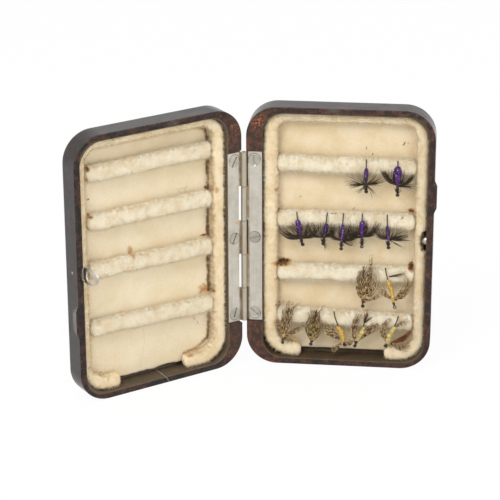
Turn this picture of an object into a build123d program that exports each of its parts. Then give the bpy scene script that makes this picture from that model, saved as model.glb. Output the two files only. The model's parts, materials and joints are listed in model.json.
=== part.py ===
from build123d import *
import os
from math import atan2, cos, degrees, radians, sin, tan
from typing import NamedTuple

os.makedirs("parts", exist_ok=True)

# Frame: the origin is the middle of the right shell's lower end face, +X runs along that shell away from the
# hinge, +Y from its open face to its back, +Z up along the hinge pin. All sizes are millimetres and degrees.

# How far a cut runs past the face that it opens, and the turn of a round corner
cut_margin = 1.0
quarter_turn = 90.0

# Moulded shells
shell_height = 114.0
shell_width = 77.2
shell_depth = 11.0
corner_radius = 12.8
back_edge_radius = 2.0
rim_edge_radius = 0.35
side_wall = 2.8
hinge_wall = 6.8
floor_thickness = 2.4
floor_fillet = 0.9
hinge_corner_radius = 8.5
free_corner_radius = 10.0

# Thumb tabs on the free walls, one above and one below the middle
tab_offset = 20.5
tab_length = 10.5
tab_base_length = 15.0
tab_reach = 1.15
tab_depth = 5.5
tab_root = 1.5

# Hinge
opening_angle = 141.2
hinge_gap = 0.92
rim_clearance = 0.05
leaf_length = 75.0
leaf_thickness = 0.65
leaf_edge_gap = 0.35
leaf_end_gap = 0.2
knuckle_count = 5
knuckle_gap = 0.2
pin_radius = 0.55
pin_clearance = 0.04
pin_end_reach = 0.3
pin_end_chamfer = 0.2
groove_clearance = 0.27
right_notch_gap = 0.4
left_notch_gap = 0.9
relief_depth = 3.6
relief_end_slope = 1.1

# Leaf screws
screw_end_inset = 3.9
screw_inset = 4.25
screw_head_radius = 2.35
screw_shank_radius = 1.0
screw_length = 6.0
screw_tip = 1.4
screw_clearance = 0.06
countersink_angle = 90.0
slot_width = 0.6
slot_depth = 0.45

# Catch
pocket_depth = 1.7
pocket_height = 5.2
pocket_reach = 7.0
strap_thickness = 0.5
strap_height = 4.4
strap_flat = 4.0
strap_neck = 0.6
strap_bend_radius = 0.4
loop_bend_radius = 0.8
loop_height = 6.8
loop_reach = 7.9
loop_lean = 0.7
loop_lip = 1.3
loop_lip_length = 1.6
loop_wall_gap = 0.15
loop_hole_height = 5.4
loop_hole_length = 5.4
loop_flex = 11.0
flex_gap = 0.1
rivet_radius = 0.6
rivet_depth = 4.1
rivet_head_radius = 1.1
rivet_head_height = 0.35
rivet_end_reach = 0.15
stud_depth = 4.0
stud_radius = 1.9
stud_reach = 2.1
stud_shank_radius = 0.7
stud_shank_length = 2.0
catch_margin = 0.4

# Lining pads
lining_thickness = 2.6
lining_inset = 1.2
right_lining_lift = 2.8
left_lining_lift = 2.0

# Pile strips and their wire cores
crown_depth = 1.8
cross_strip_width = 6.8
edge_strip_width = 5.8
pile_seat_gap = 0.1
edge_strip_gap = 0.2
strip_end_gap = 0.3
strip_end_flat = 0.2
core_radius = 0.4
core_end_cover = 0.6

# Heights of the lowest cross strips' ends, and the edge strips' feet along the lower walls
right_strip_near_height = 21.6
right_strip_far_height = 19.8
left_strip_near_height = 29.4
left_strip_far_height = 31.0
right_near_foot = 12.8
right_far_foot = 13.4
left_near_foot = 17.2
left_far_foot = 13.6

# Hooks and dressings
hook_length = 15.0
hook_wire_radius = 0.24
hook_gape = 3.8
hook_point_length = 2.6
eye_ring_radius = 0.6
eye_wire_radius = 0.2
shank_depth_at_bend = 0.5
shank_depth_at_eye = 2.1
bend_below_strip_edge = 0.6
hackle_reach = 4.0
hackle_thickness = 0.7
body_radius = 1.0
body_shoulder = 0.8
head_radius = 0.55
head_width = 1.32

# Derived places, across a shell from the hinge axis
shell_near = hinge_gap
shell_far = hinge_gap + shell_width
shell_middle = (shell_near + shell_far) / 2
cavity_near = shell_near + hinge_wall
cavity_far = shell_far - side_wall
cavity_middle = (cavity_near + cavity_far) / 2
cavity_width = cavity_far - cavity_near
cavity_height = shell_height - 2 * side_wall
cavity_depth = shell_depth - floor_thickness
mid_height = shell_height / 2
lining_front = cavity_depth - lining_thickness

# Derived hinge sizes; depths count from the rim, which lies behind the hinge axis by the rim clearance
barrel_radius = pin_radius + pin_clearance + leaf_thickness
leaf_back = barrel_radius - rim_clearance
leaf_front = leaf_back - leaf_thickness
leaf_far = cavity_near - leaf_edge_gap
leaf_bottom = mid_height - leaf_length / 2
knuckle_pitch = leaf_length / knuckle_count
groove_radius = barrel_radius + groove_clearance
screw_head_depth = (screw_head_radius - screw_shank_radius) / tan(radians(countersink_angle / 2))
relief_far = barrel_radius + left_notch_gap + leaf_end_gap
relief_bottom = leaf_bottom - relief_end_slope
relief_top = leaf_bottom + leaf_length + relief_end_slope

# Derived catch sizes: the strap stands on the pocket's floor and its loop stands clear of the cavity's wall
pocket_floor = cavity_far + pocket_depth
strap_foot = pocket_reach - catch_margin
strap_line = pocket_floor - strap_thickness / 2
loop_line = cavity_far - loop_wall_gap - strap_thickness / 2
loop_end_line = loop_line - loop_lean
lip_line = loop_end_line - loop_lip
loop_straight = loop_reach - loop_lip_length
loop_end_centre = loop_reach - loop_height / 2
rivet_length = shell_far - (pocket_floor - strap_thickness) + rivet_end_reach

# Where the loop reaches when it is flexed in the closed box
loop_swing = loop_lean + loop_lip + loop_reach * sin(radians(loop_flex))
catch_near = cavity_far - loop_wall_gap - strap_thickness - loop_swing - catch_margin
catch_space_height = loop_height + 2 * catch_margin

hinge_x = -shell_middle
hinge_y = -rim_clearance - shell_depth / 2


def face_plane(turn, hand):
    """The rim plane of a shell turned about the hinge: local y is up and the normal leaves the mouth."""
    along = Vector(cos(radians(turn)), sin(radians(turn)), 0)
    deep = Vector(-sin(radians(turn)), cos(radians(turn)), 0) * hand
    return Plane(Vector(hinge_x, hinge_y, 0) + deep * rim_clearance, x_dir=along * hand, z_dir=-deep)


def level_plane(face, height):
    """A level plane at a height: local x as in the rim plane, local y is the depth behind the rim."""
    return Plane(face.from_local_coords(Vector(0, height, 0)), x_dir=face.x_dir, z_dir=face.y_dir)


def inner_point(face, across, height, depth):
    return face.from_local_coords(Vector(across, height, -depth))


def deepest_face(part, face):
    return part.faces().sort_by(Axis(face.origin, -face.z_dir))[-1]


def rim_face(part, face):
    return part.faces().sort_by(Axis(face.origin, -face.z_dir))[0]


class Side(NamedTuple):
    name: str
    face: Plane
    hand: int
    tab_height: float
    notch_gap: float
    knuckles: tuple
    slot_turns: tuple
    lining_lift: float
    strip_shares: tuple
    lowest_strip: tuple
    edge_strip_feet: tuple


right = Side(
    name="right",
    face=face_plane(0, 1),
    hand=1,
    tab_height=mid_height + tab_offset,
    notch_gap=right_notch_gap,
    knuckles=(1, 3),
    slot_turns=(96, 16, -40),
    lining_lift=right_lining_lift,
    strip_shares=((0.8074, 0.8056), (0.5179, 0.5316), (0.2321, 0.2564)),
    lowest_strip=(right_strip_near_height, right_strip_far_height),
    edge_strip_feet=(right_near_foot, right_far_foot),
)
left = Side(
    name="left",
    face=face_plane(-opening_angle, -1),
    hand=-1,
    tab_height=mid_height - tab_offset,
    notch_gap=left_notch_gap,
    knuckles=(0, 2, 4),
    slot_turns=(62, 66, 72),
    lining_lift=left_lining_lift,
    strip_shares=((0.8971, 0.8908), (0.6161, 0.6159), (0.3377, 0.3396)),
    lowest_strip=(left_strip_near_height, left_strip_far_height),
    edge_strip_feet=(left_near_foot, left_far_foot),
)
sides = (right, left)


def strip_heights(side):
    """The heights of each cross strip's two ends: the upper ones share the way from the lowest to the top."""
    near, far = side.lowest_strip
    top = shell_height - side_wall - edge_strip_gap - edge_strip_width
    upper = [(near + a * (top - near), far + b * (top - far)) for a, b in side.strip_shares]
    return [*upper, side.lowest_strip]


screw_heights = [mid_height + step * (leaf_length / 2 - screw_end_inset) for step in (1, 0, -1)]

# Clearance behind the barrel in the left shell, with sloped ends
with BuildPart() as relief:
    with BuildSketch(left.face.offset(cut_margin)):
        with BuildLine():
            Polyline(
                (0, relief_bottom - shell_near),
                (-shell_near, relief_bottom),
                (-relief_far, leaf_bottom),
                (-relief_far, leaf_bottom + leaf_length),
                (-shell_near, relief_top),
                (0, relief_top + shell_near),
                close=True,
            )
        make_face()
    extrude(amount=-relief_depth - cut_margin)
    with BuildSketch(level_plane(left.face, 0)):
        with BuildLine():
            Polyline(
                (0, -cut_margin),
                (-relief_far, -cut_margin),
                (-relief_far, leaf_back),
                (-shell_near, relief_depth),
                (0, relief_depth),
                close=True,
            )
        make_face()
    extrude(amount=shell_height, mode=Mode.INTERSECT)

# Shells
for side in sides:
    face, hand = side.face, side.hand
    with BuildPart() as shell:
        with BuildSketch(face):
            with Locations((hand * shell_middle, mid_height)):
                RectangleRounded(shell_width, shell_height, corner_radius)
        extrude(amount=-shell_depth)
        fillet(deepest_face(shell, face).edges(), back_edge_radius)

        # Thumb tab, thickest at the rim and running out into the wall behind it
        with BuildSketch(face):
            with BuildLine():
                Polyline(
                    (hand * (shell_far - tab_root), side.tab_height - tab_base_length / 2),
                    (hand * shell_far, side.tab_height - tab_base_length / 2),
                    (hand * (shell_far + tab_reach), side.tab_height - tab_length / 2),
                    (hand * (shell_far + tab_reach), side.tab_height + tab_length / 2),
                    (hand * shell_far, side.tab_height + tab_base_length / 2),
                    (hand * (shell_far - tab_root), side.tab_height + tab_base_length / 2),
                    close=True,
                )
            make_face()
        extrude(amount=-tab_depth, taper=degrees(atan2(tab_reach, tab_depth)))

        # Cavity
        with BuildSketch(face):
            with Locations((hand * cavity_middle, mid_height)):
                Rectangle(cavity_width, cavity_height)
            fillet(vertices().group_by(Axis.X)[::hand][0], hinge_corner_radius)
            fillet(vertices().group_by(Axis.X)[::hand][-1], free_corner_radius)
        extrude(amount=-cavity_depth, mode=Mode.SUBTRACT)
        cavity_floor = shell.faces().filter_by(face).sort_by(Axis(face.origin, -face.z_dir))[-2]
        fillet(cavity_floor.edges(), floor_fillet)
        fillet(rim_face(shell, face).edges(), rim_edge_radius)

        # Leaf recess across the hinge rim
        with BuildSketch(level_plane(face, leaf_bottom - leaf_end_gap)):
            with Locations((hand * cavity_near / 2, 0)):
                Rectangle(cavity_near, 2 * leaf_back)
            with Locations((0, -rim_clearance)):
                Circle(groove_radius)
        extrude(amount=leaf_length + 2 * leaf_end_gap, mode=Mode.SUBTRACT)
        if side is left:
            add(relief.part, mode=Mode.SUBTRACT)

        # Screw holes, sunk from the leaf's front face
        screw_plane = face.offset(-leaf_front)
        with Locations(*[screw_plane * Location((hand * screw_inset, height)) for height in screw_heights]):
            CounterSinkHole(
                screw_shank_radius + screw_clearance,
                screw_head_radius + screw_clearance,
                depth=screw_length + screw_clearance,
                counter_sink_angle=countersink_angle,
            )

        # Catch pocket and rivet hole in the left shell, stud hole in the right shell
        if side is left:
            with BuildSketch(level_plane(face, mid_height - pocket_height / 2)):
                with Locations((-(cavity_far - cut_margin + pocket_floor) / 2, pocket_reach / 2)):
                    Rectangle(pocket_depth + cut_margin, pocket_reach)
            extrude(amount=pocket_height, mode=Mode.SUBTRACT)
            rivet_foot = inner_point(face, -pocket_floor, mid_height, rivet_depth)
            with BuildSketch(Plane(rivet_foot, z_dir=-face.x_dir)):
                Circle(rivet_radius)
            extrude(amount=side_wall, mode=Mode.SUBTRACT)
        else:
            stud_foot = inner_point(face, cavity_far, mid_height, stud_depth)
            with BuildSketch(Plane(stud_foot, z_dir=face.x_dir)):
                Circle(stud_shank_radius)
            extrude(amount=stud_shank_length, mode=Mode.SUBTRACT)

    shell.part.label = f"{side.name}_shell"
    export_step(shell.part, f"parts/{shell.part.label}.step")

# Hinge leaves
for side in sides:
    face, hand = side.face, side.hand
    notch_edge = barrel_radius + side.notch_gap
    with BuildPart() as leaf:
        with BuildSketch(level_plane(face, leaf_bottom)):
            with Locations((hand * (notch_edge + leaf_far) / 2, (leaf_front + leaf_back) / 2)):
                Rectangle(leaf_far - notch_edge, leaf_thickness)
        extrude(amount=leaf_length)
        for step in side.knuckles:
            with BuildSketch(level_plane(face, leaf_bottom + step * knuckle_pitch + knuckle_gap / 2)):
                with Locations((hand * notch_edge / 2, (leaf_front + leaf_back) / 2)):
                    Rectangle(notch_edge, leaf_thickness)
                with Locations((0, -rim_clearance)):
                    Circle(barrel_radius)
                    Circle(pin_radius + pin_clearance, mode=Mode.SUBTRACT)
            extrude(amount=knuckle_pitch - knuckle_gap)
        screw_plane = face.offset(-leaf_front)
        with Locations(*[screw_plane * Location((hand * screw_inset, height)) for height in screw_heights]):
            CounterSinkHole(
                screw_shank_radius + screw_clearance,
                screw_head_radius + screw_clearance,
                depth=screw_length,
                counter_sink_angle=countersink_angle,
            )
    leaf.part.label = f"{side.name}_hinge_leaf"
    export_step(leaf.part, f"parts/{leaf.part.label}.step")

# Hinge pin
with BuildPart() as hinge_pin:
    pin_bottom = leaf_bottom - pin_end_reach
    with BuildSketch(level_plane(right.face, pin_bottom)):
        with Locations((0, -rim_clearance)):
            Circle(pin_radius)
    extrude(amount=leaf_length + 2 * pin_end_reach)
    chamfer(hinge_pin.edges().filter_by(GeomType.CIRCLE), pin_end_chamfer)
hinge_pin.part.label = "hinge_pin"
export_step(hinge_pin.part, "parts/hinge_pin.step")

# Leaf screws
for side in sides:
    face, hand = side.face, side.hand
    with BuildPart() as screws:
        for height, slot_turn in zip(screw_heights, side.slot_turns):
            head_centre = inner_point(face, hand * screw_inset, height, leaf_front)
            with BuildSketch(Plane(head_centre, x_dir=face.x_dir, z_dir=face.y_dir)):
                with BuildLine():
                    Polyline(
                        (0, 0),
                        (screw_head_radius, 0),
                        (screw_shank_radius, screw_head_depth),
                        (screw_shank_radius, screw_length - screw_tip),
                        (0, screw_length - screw_clearance),
                        close=True,
                    )
                make_face()
            revolve(axis=Axis(head_centre, face.z_dir))
            with BuildSketch(Plane(head_centre, x_dir=face.x_dir, z_dir=face.z_dir)):
                Rectangle(2 * (screw_head_radius + cut_margin), slot_width, rotation=slot_turn)
            extrude(amount=-slot_depth, mode=Mode.SUBTRACT)
    screws.part.label = f"{side.name}_hinge_screws"
    export_step(screws.part, f"parts/{screws.part.label}.step")

# Catch strap in the left shell's pocket; its loop leaves the rim leaning inward and ends in a lip
with BuildPart() as catch_strap:
    with BuildSketch(level_plane(left.face, mid_height - strap_height / 2)):
        with BuildLine():
            FilletPolyline(
                (-strap_line, strap_foot),
                (-strap_line, strap_foot - strap_flat),
                (-loop_line, strap_neck),
                (-loop_line, 0),
                radius=strap_bend_radius,
            )
        trace(line_width=strap_thickness)
    extrude(amount=strap_height)
    rivet_centre = inner_point(left.face, -pocket_floor, mid_height, rivet_depth)
    with BuildSketch(Plane(rivet_centre, z_dir=left.face.x_dir)):
        Circle(rivet_radius)
    extrude(amount=strap_thickness, mode=Mode.SUBTRACT)
catch_strap.part.label = "catch_strap"
export_step(catch_strap.part, "parts/catch_strap.step")

with BuildPart() as catch_loop:
    with BuildSketch(level_plane(left.face, mid_height - loop_height / 2)):
        with BuildLine():
            FilletPolyline(
                (-loop_line, -flex_gap),
                (-loop_end_line, -loop_straight),
                (-lip_line, -loop_reach),
                radius=loop_bend_radius,
            )
        trace(line_width=strap_thickness)
    extrude(amount=loop_height)
    # Round end and hole, cut square to the strap
    cut_origin = left.face.from_local_coords(Vector(-cavity_far, 0, 0))
    with BuildSketch(Plane(cut_origin, x_dir=left.face.z_dir, z_dir=left.face.x_dir)):
        with Locations((loop_end_centre / 2 - cut_margin / 2, -mid_height)):
            Rectangle(loop_end_centre + cut_margin, loop_height)
        with Locations((loop_end_centre, -mid_height)):
            Circle(loop_height / 2)
        with Locations((stud_depth, -mid_height)):
            Ellipse(loop_hole_length / 2, loop_hole_height / 2, mode=Mode.SUBTRACT)
    extrude(amount=loop_reach, both=True, mode=Mode.INTERSECT)
catch_loop.part.label = "catch_loop"
export_step(catch_loop.part, "parts/catch_loop.step")

# Rivet through the left shell's free wall, with a domed end inside and a flush one outside
with BuildPart() as catch_rivet:
    head_base = inner_point(left.face, -(pocket_floor - strap_thickness), mid_height, rivet_depth)
    with BuildSketch(Plane(head_base, x_dir=left.face.x_dir, z_dir=left.face.y_dir)):
        with BuildLine():
            Polyline(
                (rivet_head_height, 0),
                (rivet_head_height, rivet_head_radius / 2),
                (0, rivet_head_radius),
                (0, rivet_radius),
                (-rivet_length, rivet_radius),
                (-rivet_length, 0),
                close=True,
            )
        make_face()
    revolve(axis=Axis(head_base, left.face.x_dir))
catch_rivet.part.label = "catch_rivet"
export_step(catch_rivet.part, "parts/catch_rivet.step")

# Stud on the right shell's free wall, where the loop's hole comes to rest
with BuildPart() as catch_stud:
    stud_base = inner_point(right.face, cavity_far, mid_height, stud_depth)
    with BuildSketch(Plane(stud_base, x_dir=right.face.x_dir, z_dir=right.face.y_dir)):
        with BuildLine():
            Polyline(
                (-stud_reach, 0),
                (stud_shank_length, 0),
                (stud_shank_length, stud_shank_radius),
                (0, stud_shank_radius),
                (0, stud_radius),
            )
            EllipticalCenterArc((0, 0), stud_reach, stud_radius, quarter_turn, arc_size=quarter_turn)
        make_face()
    revolve(axis=Axis(stud_base, right.face.x_dir))
catch_stud.part.label = "catch_stud"
export_step(catch_stud.part, "parts/catch_stud.step")

# Lining pads, face to face with the shells' floors
for side in sides:
    face, hand = side.face, side.hand
    pad_bottom = side_wall + side.lining_lift
    pad_top = shell_height - side_wall - lining_inset
    pad_near = cavity_near + lining_inset
    pad_far = cavity_far - lining_inset
    with BuildPart() as lining:
        with BuildSketch(face.offset(-lining_front)):
            with Locations((hand * (pad_near + pad_far) / 2, (pad_bottom + pad_top) / 2)):
                Rectangle(pad_far - pad_near, pad_top - pad_bottom)
            fillet(vertices().group_by(Axis.X)[::hand][0], hinge_corner_radius - lining_inset)
            fillet(vertices().group_by(Axis.X)[::hand][-1], free_corner_radius - lining_inset)
            if side is right:
                with Locations((hand * (catch_near + pad_far) / 2, mid_height)):
                    Rectangle(pad_far - catch_near, catch_space_height, mode=Mode.SUBTRACT)
        extrude(amount=-lining_thickness)
    lining.part.label = f"{side.name}_lining"
    export_step(lining.part, f"parts/{lining.part.label}.step")

# Pile strips: an edge strip along three walls that turns round the lower corners, and cross strips between
edge_offset = edge_strip_gap + edge_strip_width / 2
edge_near = cavity_near + edge_offset
edge_far = cavity_far - edge_offset
edge_top = shell_height - side_wall - edge_offset
edge_bottom = side_wall + edge_offset
pile_back = lining_front - pile_seat_gap
pile_centre = (crown_depth + pile_back) / 2
cross_near = edge_near + edge_strip_width / 2 + strip_end_gap
cross_far = edge_far - edge_strip_width / 2 - strip_end_gap
cross_length = cross_far - cross_near
hinge_turn = hinge_corner_radius - edge_offset
free_turn = free_corner_radius - edge_offset
route_radii = [hinge_turn, hinge_turn, free_turn, free_turn]

for side in sides:
    face, hand = side.face, side.hand
    near_foot, far_foot = side.edge_strip_feet
    route = [
        (hand * (edge_near + near_foot), edge_bottom),
        (hand * edge_near, edge_bottom),
        (hand * edge_near, edge_top),
        (hand * edge_far, edge_top),
        (hand * edge_far, edge_bottom),
        (hand * (edge_far - far_foot), edge_bottom),
    ]
    with BuildPart() as edge_strip:
        with BuildLine(face.offset(-pile_centre)) as edge_path:
            FilletPolyline(*route, radius=route_radii)
        with BuildSketch(Plane(edge_path.line @ 0, x_dir=face.z_dir, z_dir=edge_path.line % 0)):
            Ellipse((pile_back - crown_depth) / 2, edge_strip_width / 2)
        sweep()
        if side is right:
            with BuildSketch(face):
                with Locations(((catch_near + cavity_far) / 2, mid_height)):
                    Rectangle(cavity_far - catch_near, catch_space_height)
            extrude(amount=-cavity_depth, mode=Mode.SUBTRACT)
    edge_strip.part.label = f"{side.name}_edge_strip"
    export_step(edge_strip.part, f"parts/{edge_strip.part.label}.step")

    for number, (near_height, far_height) in enumerate(strip_heights(side), start=1):
        start = inner_point(face, hand * cross_near, near_height, pile_centre)
        end = inner_point(face, hand * cross_far, far_height, pile_centre)
        run = end - start
        with BuildPart() as cross_strip:
            with BuildSketch(Plane(start - run.normalized() * cut_margin, x_dir=face.z_dir, z_dir=run)):
                Ellipse((pile_back - crown_depth) / 2, cross_strip_width / 2)
            extrude(amount=run.length + 2 * cut_margin)
            # Its ends are rounded by an outline that stands clear of its sides
            with BuildSketch(Plane((start + end) / 2, x_dir=run, z_dir=face.z_dir)):
                outline_width = cross_strip_width + 2 * cut_margin
                RectangleRounded(run.length, outline_width, outline_width / 2 - strip_end_flat)
            extrude(amount=cavity_depth, both=True, mode=Mode.INTERSECT)
        cross_strip.part.label = f"{side.name}_cross_strip_{number}"
        export_step(cross_strip.part, f"parts/{cross_strip.part.label}.step")

    # Twisted iron cores, one along each strip and covered by its pile at both ends
    with BuildPart() as cores:
        with BuildSketch(Plane(edge_path.line @ 0, x_dir=face.z_dir, z_dir=edge_path.line % 0)):
            Circle(core_radius)
        sweep(path=edge_path.line)
        for near_height, far_height in strip_heights(side):
            start = inner_point(face, hand * (cross_near + core_end_cover), near_height, pile_centre)
            end = inner_point(face, hand * (cross_far - core_end_cover), far_height, pile_centre)
            with BuildSketch(Plane(start, z_dir=end - start)):
                Circle(core_radius)
            extrude(amount=(end - start).length)
    cores.part.label = f"{side.name}_strip_wires"
    export_step(cores.part, f"parts/{cores.part.label}.step")


class Fly(NamedTuple):
    strip: int
    place: float
    lean: float
    length: float
    girth: float
    body_start: float
    body_end: float
    hackle_start: float
    spread: float


# Flies in reading order: the share of its strip's length at which the bend sits, how far the hook leans and
# how long it is, the body's girth and its ends, and the hackle's start and spread. Leans, ends and starts are
# shares of the hook's own length, and lengths, girths and spreads are shares of the sizes above.
flies = (
    Fly(1, 0.656, 0.007, 0.893, 0.95, 0.22, 0.58, 0.60, 1.40),
    Fly(1, 0.889, 0.007, 0.953, 1.25, 0.20, 0.70, 0.42, 1.30),
    Fly(2, 0.147, 0.149, 0.940, 1.05, 0.24, 0.78, 0.50, 1.20),
    Fly(2, 0.365, -0.104, 0.893, 0.85, 0.36, 0.80, 0.50, 0.70),
    Fly(2, 0.489, -0.046, 1.020, 0.90, 0.36, 0.86, 0.55, 0.70),
    Fly(2, 0.632, 0.000, 0.933, 1.00, 0.18, 0.62, 0.48, 0.90),
    Fly(2, 0.820, 0.050, 0.940, 0.85, 0.36, 0.82, 0.55, 1.10),
    Fly(3, 0.647, 0.000, 1.147, 1.05, 0.30, 0.84, 0.20, 0.90),
    Fly(3, 0.823, 0.210, 1.173, 0.85, 0.22, 0.78, 0.66, 1.05),
    Fly(4, 0.074, -0.147, 1.040, 0.85, 0.25, 0.85, 0.20, 0.70),
    Fly(4, 0.289, -0.130, 1.027, 0.95, 0.20, 0.86, 0.16, 0.65),
    Fly(4, 0.441, 0.263, 1.013, 1.00, 0.34, 0.82, 0.62, 0.75),
    Fly(4, 0.672, -0.289, 1.013, 0.90, 0.30, 0.78, 0.30, 0.70),
    Fly(4, 0.905, -0.303, 0.947, 0.95, 0.30, 0.84, 0.50, 1.00),
)

bend_radius = hook_gape / 2
for number, fly in enumerate(flies, start=1):
    near_height, far_height = strip_heights(right)[fly.strip - 1]
    across = cross_near + fly.place * cross_length
    strip_top = near_height + (far_height - near_height) * fly.place + cross_strip_width / 2
    bend_height = strip_top - bend_below_strip_edge
    length = fly.length * hook_length
    eye_across = across + fly.lean * length
    eye_height = bend_height - length * (1 - fly.lean**2) ** 0.5
    top = inner_point(right.face, across, bend_height - bend_radius, shank_depth_at_bend)
    eye = inner_point(right.face, eye_across, eye_height, shank_depth_at_eye)
    shank = eye - top
    shank_dir = shank.normalized()
    shank_length = shank.length - eye_ring_radius

    # The hook's own plane stands square to the lining: local x runs down the shank, local y into the box
    hook_plane = Plane(top, x_dir=shank_dir, z_dir=shank_dir.cross(Vector(0, 1, 0)))
    with BuildPart() as hook:
        with BuildLine(hook_plane) as wire:
            Line((shank_length, 0), (0, 0))
            ThreePointArc((0, 0), (-bend_radius, bend_radius), (0, hook_gape))
            Line((0, hook_gape), (hook_point_length, hook_gape))
        with BuildSketch(Plane(wire.line @ 0, z_dir=wire.line % 0)):
            Circle(hook_wire_radius)
        sweep()
        with Locations(Plane(eye, x_dir=shank_dir, z_dir=hook_plane.y_dir)):
            Torus(eye_ring_radius, eye_wire_radius)
    hook.part.label = f"fly_{number:02d}_hook"
    export_step(hook.part, f"parts/{hook.part.label}.step")

    # Dressing: a spindle body on the shank, a flattened hackle that opens back from the head, and the head
    with BuildPart() as dressing:
        body_from, body_to = fly.body_start * shank_length, fly.body_end * shank_length
        head_at = shank_length - 2 * head_radius
        girth = fly.girth * body_radius
        with BuildSketch(hook_plane):
            with BuildLine():
                Polyline((body_from, hook_wire_radius), (body_from, 0), (head_at, 0), (head_at, head_radius))
                Spline(
                    (head_at, head_radius),
                    (body_to, girth * body_shoulder),
                    ((body_from + body_to) / 2, girth),
                    (body_from, hook_wire_radius),
                )
            make_face()
        revolve(axis=Axis(top, shank_dir))
        hackle_from = top + shank_dir * fly.hackle_start * shank_length
        with BuildSketch(Plane(hackle_from, x_dir=hook_plane.z_dir, z_dir=shank_dir)):
            Ellipse(fly.spread * hackle_reach, hackle_thickness)
        with BuildSketch(Plane(top + shank_dir * head_at, x_dir=hook_plane.z_dir, z_dir=shank_dir)):
            Ellipse(head_width / 2, head_radius)
        loft()
        # The wire runs through the dressing, so the dressing is bored for it
        with BuildSketch(Plane(top, z_dir=shank_dir)):
            Circle(hook_wire_radius)
        extrude(amount=shank_length, mode=Mode.SUBTRACT)
    dressing.part.label = f"fly_{number:02d}_dressing"
    export_step(dressing.part, f"parts/{dressing.part.label}.step")
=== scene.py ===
import json
from itertools import product
from math import radians
from typing import NamedTuple

import bmesh
import bpy
import numpy as np
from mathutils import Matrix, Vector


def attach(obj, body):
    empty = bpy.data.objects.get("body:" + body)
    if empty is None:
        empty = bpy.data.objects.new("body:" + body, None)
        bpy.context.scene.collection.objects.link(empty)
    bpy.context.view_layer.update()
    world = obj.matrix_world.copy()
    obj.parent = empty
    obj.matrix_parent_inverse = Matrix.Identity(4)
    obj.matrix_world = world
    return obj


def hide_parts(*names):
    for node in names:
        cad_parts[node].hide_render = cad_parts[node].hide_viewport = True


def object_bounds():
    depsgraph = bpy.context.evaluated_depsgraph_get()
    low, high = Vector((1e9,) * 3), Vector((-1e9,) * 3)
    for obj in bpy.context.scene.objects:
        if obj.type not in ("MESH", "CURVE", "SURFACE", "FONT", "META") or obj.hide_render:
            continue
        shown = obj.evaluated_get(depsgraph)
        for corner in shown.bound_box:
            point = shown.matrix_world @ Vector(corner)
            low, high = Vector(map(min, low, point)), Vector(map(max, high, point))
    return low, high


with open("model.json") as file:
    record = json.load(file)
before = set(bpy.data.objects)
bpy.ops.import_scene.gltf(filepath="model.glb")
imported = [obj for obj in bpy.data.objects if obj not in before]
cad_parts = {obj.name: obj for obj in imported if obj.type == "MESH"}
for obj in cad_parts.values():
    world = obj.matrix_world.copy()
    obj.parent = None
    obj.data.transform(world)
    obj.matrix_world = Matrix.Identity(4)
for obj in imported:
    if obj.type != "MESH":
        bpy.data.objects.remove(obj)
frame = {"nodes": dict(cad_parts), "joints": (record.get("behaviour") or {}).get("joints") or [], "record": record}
cad_low, cad_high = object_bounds()

# Sizes are millimetres where nothing else is said, and pieces turn into metres where their meshes are made. A
# place in either shell is (across, height, depth): across from the hinge axis, up from the lower ends, and
# behind the rim. A pair of sizes for a fade says where it starts and where it is full.
MM = 0.001

# The photograph's camera, turned in degrees
CAMERA_PLACE = (55.66, -815.27, 379.20)
CAMERA_TURN = (68.083, 0.206, 6.453)
CAMERA_LENS = 152.05
SENSOR_WIDTH = 36.0

# Floor and lamps, in metres: each lamp's place and its size, and then its power in watts
FLOOR_REACH = 3.0
FLOOR_GLOW = 0.95
AMBIENT_STRENGTH = 0.62
LAMPS = {
    "key": ((-0.35, -0.75, 0.95), 0.55, 9.0),
    "fill": ((0.75, -0.55, 0.45), 0.6, 2.5),
    "back": ((0.1, 0.6, 1.15), 0.7, 2.6),
}

# Shells: their walls, where their rims are warm, red and bloomed, and pairs of colours that the mottle mixes
HINGE_WALL = 6.8
SIDE_WALL = 2.8
INNER_CORNER = 8.0
TAB_REACH = 1.15
WARM_CORNERS = {"right": (9.0, 108.0, 0.0), "left": (4.6, 101.0, 0.0)}
WARM_REACH = {"right": 21.0, "left": 9.5}
RED_REACH = (12.0, 4.0)
BLOOM_DROP = np.array((6.0, 3.0))
BLOOM_START = (16.0, 30.0)
OUTER_SKIN = ((0.018, 0.0155, 0.015), (0.04, 0.025, 0.02))
# Inner colours: dull olive, darkened as painted shade inside the walls, most in the right shell
INNER_SKIN_AND_SHADE = {
    "right": ((0.062, 0.043, 0.023), (0.09, 0.06, 0.032)),
    "left": ((0.085, 0.066, 0.044), (0.125, 0.083, 0.05)),
}
NEAR_CUT = ((0.04, 0.022, 0.0155), (0.125, 0.047, 0.026))
FAR_CUT = {
    "right": ((0.018, 0.010, 0.0085), (0.09, 0.036, 0.021)),
    "left": ((0.009, 0.0075, 0.0065), (0.06, 0.026, 0.016)),
}
EMBER = (0.44, 0.14, 0.045)
FLECK = (0.36, 0.24, 0.14)
BLOOM = (0.09, 0.095, 0.072)
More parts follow.
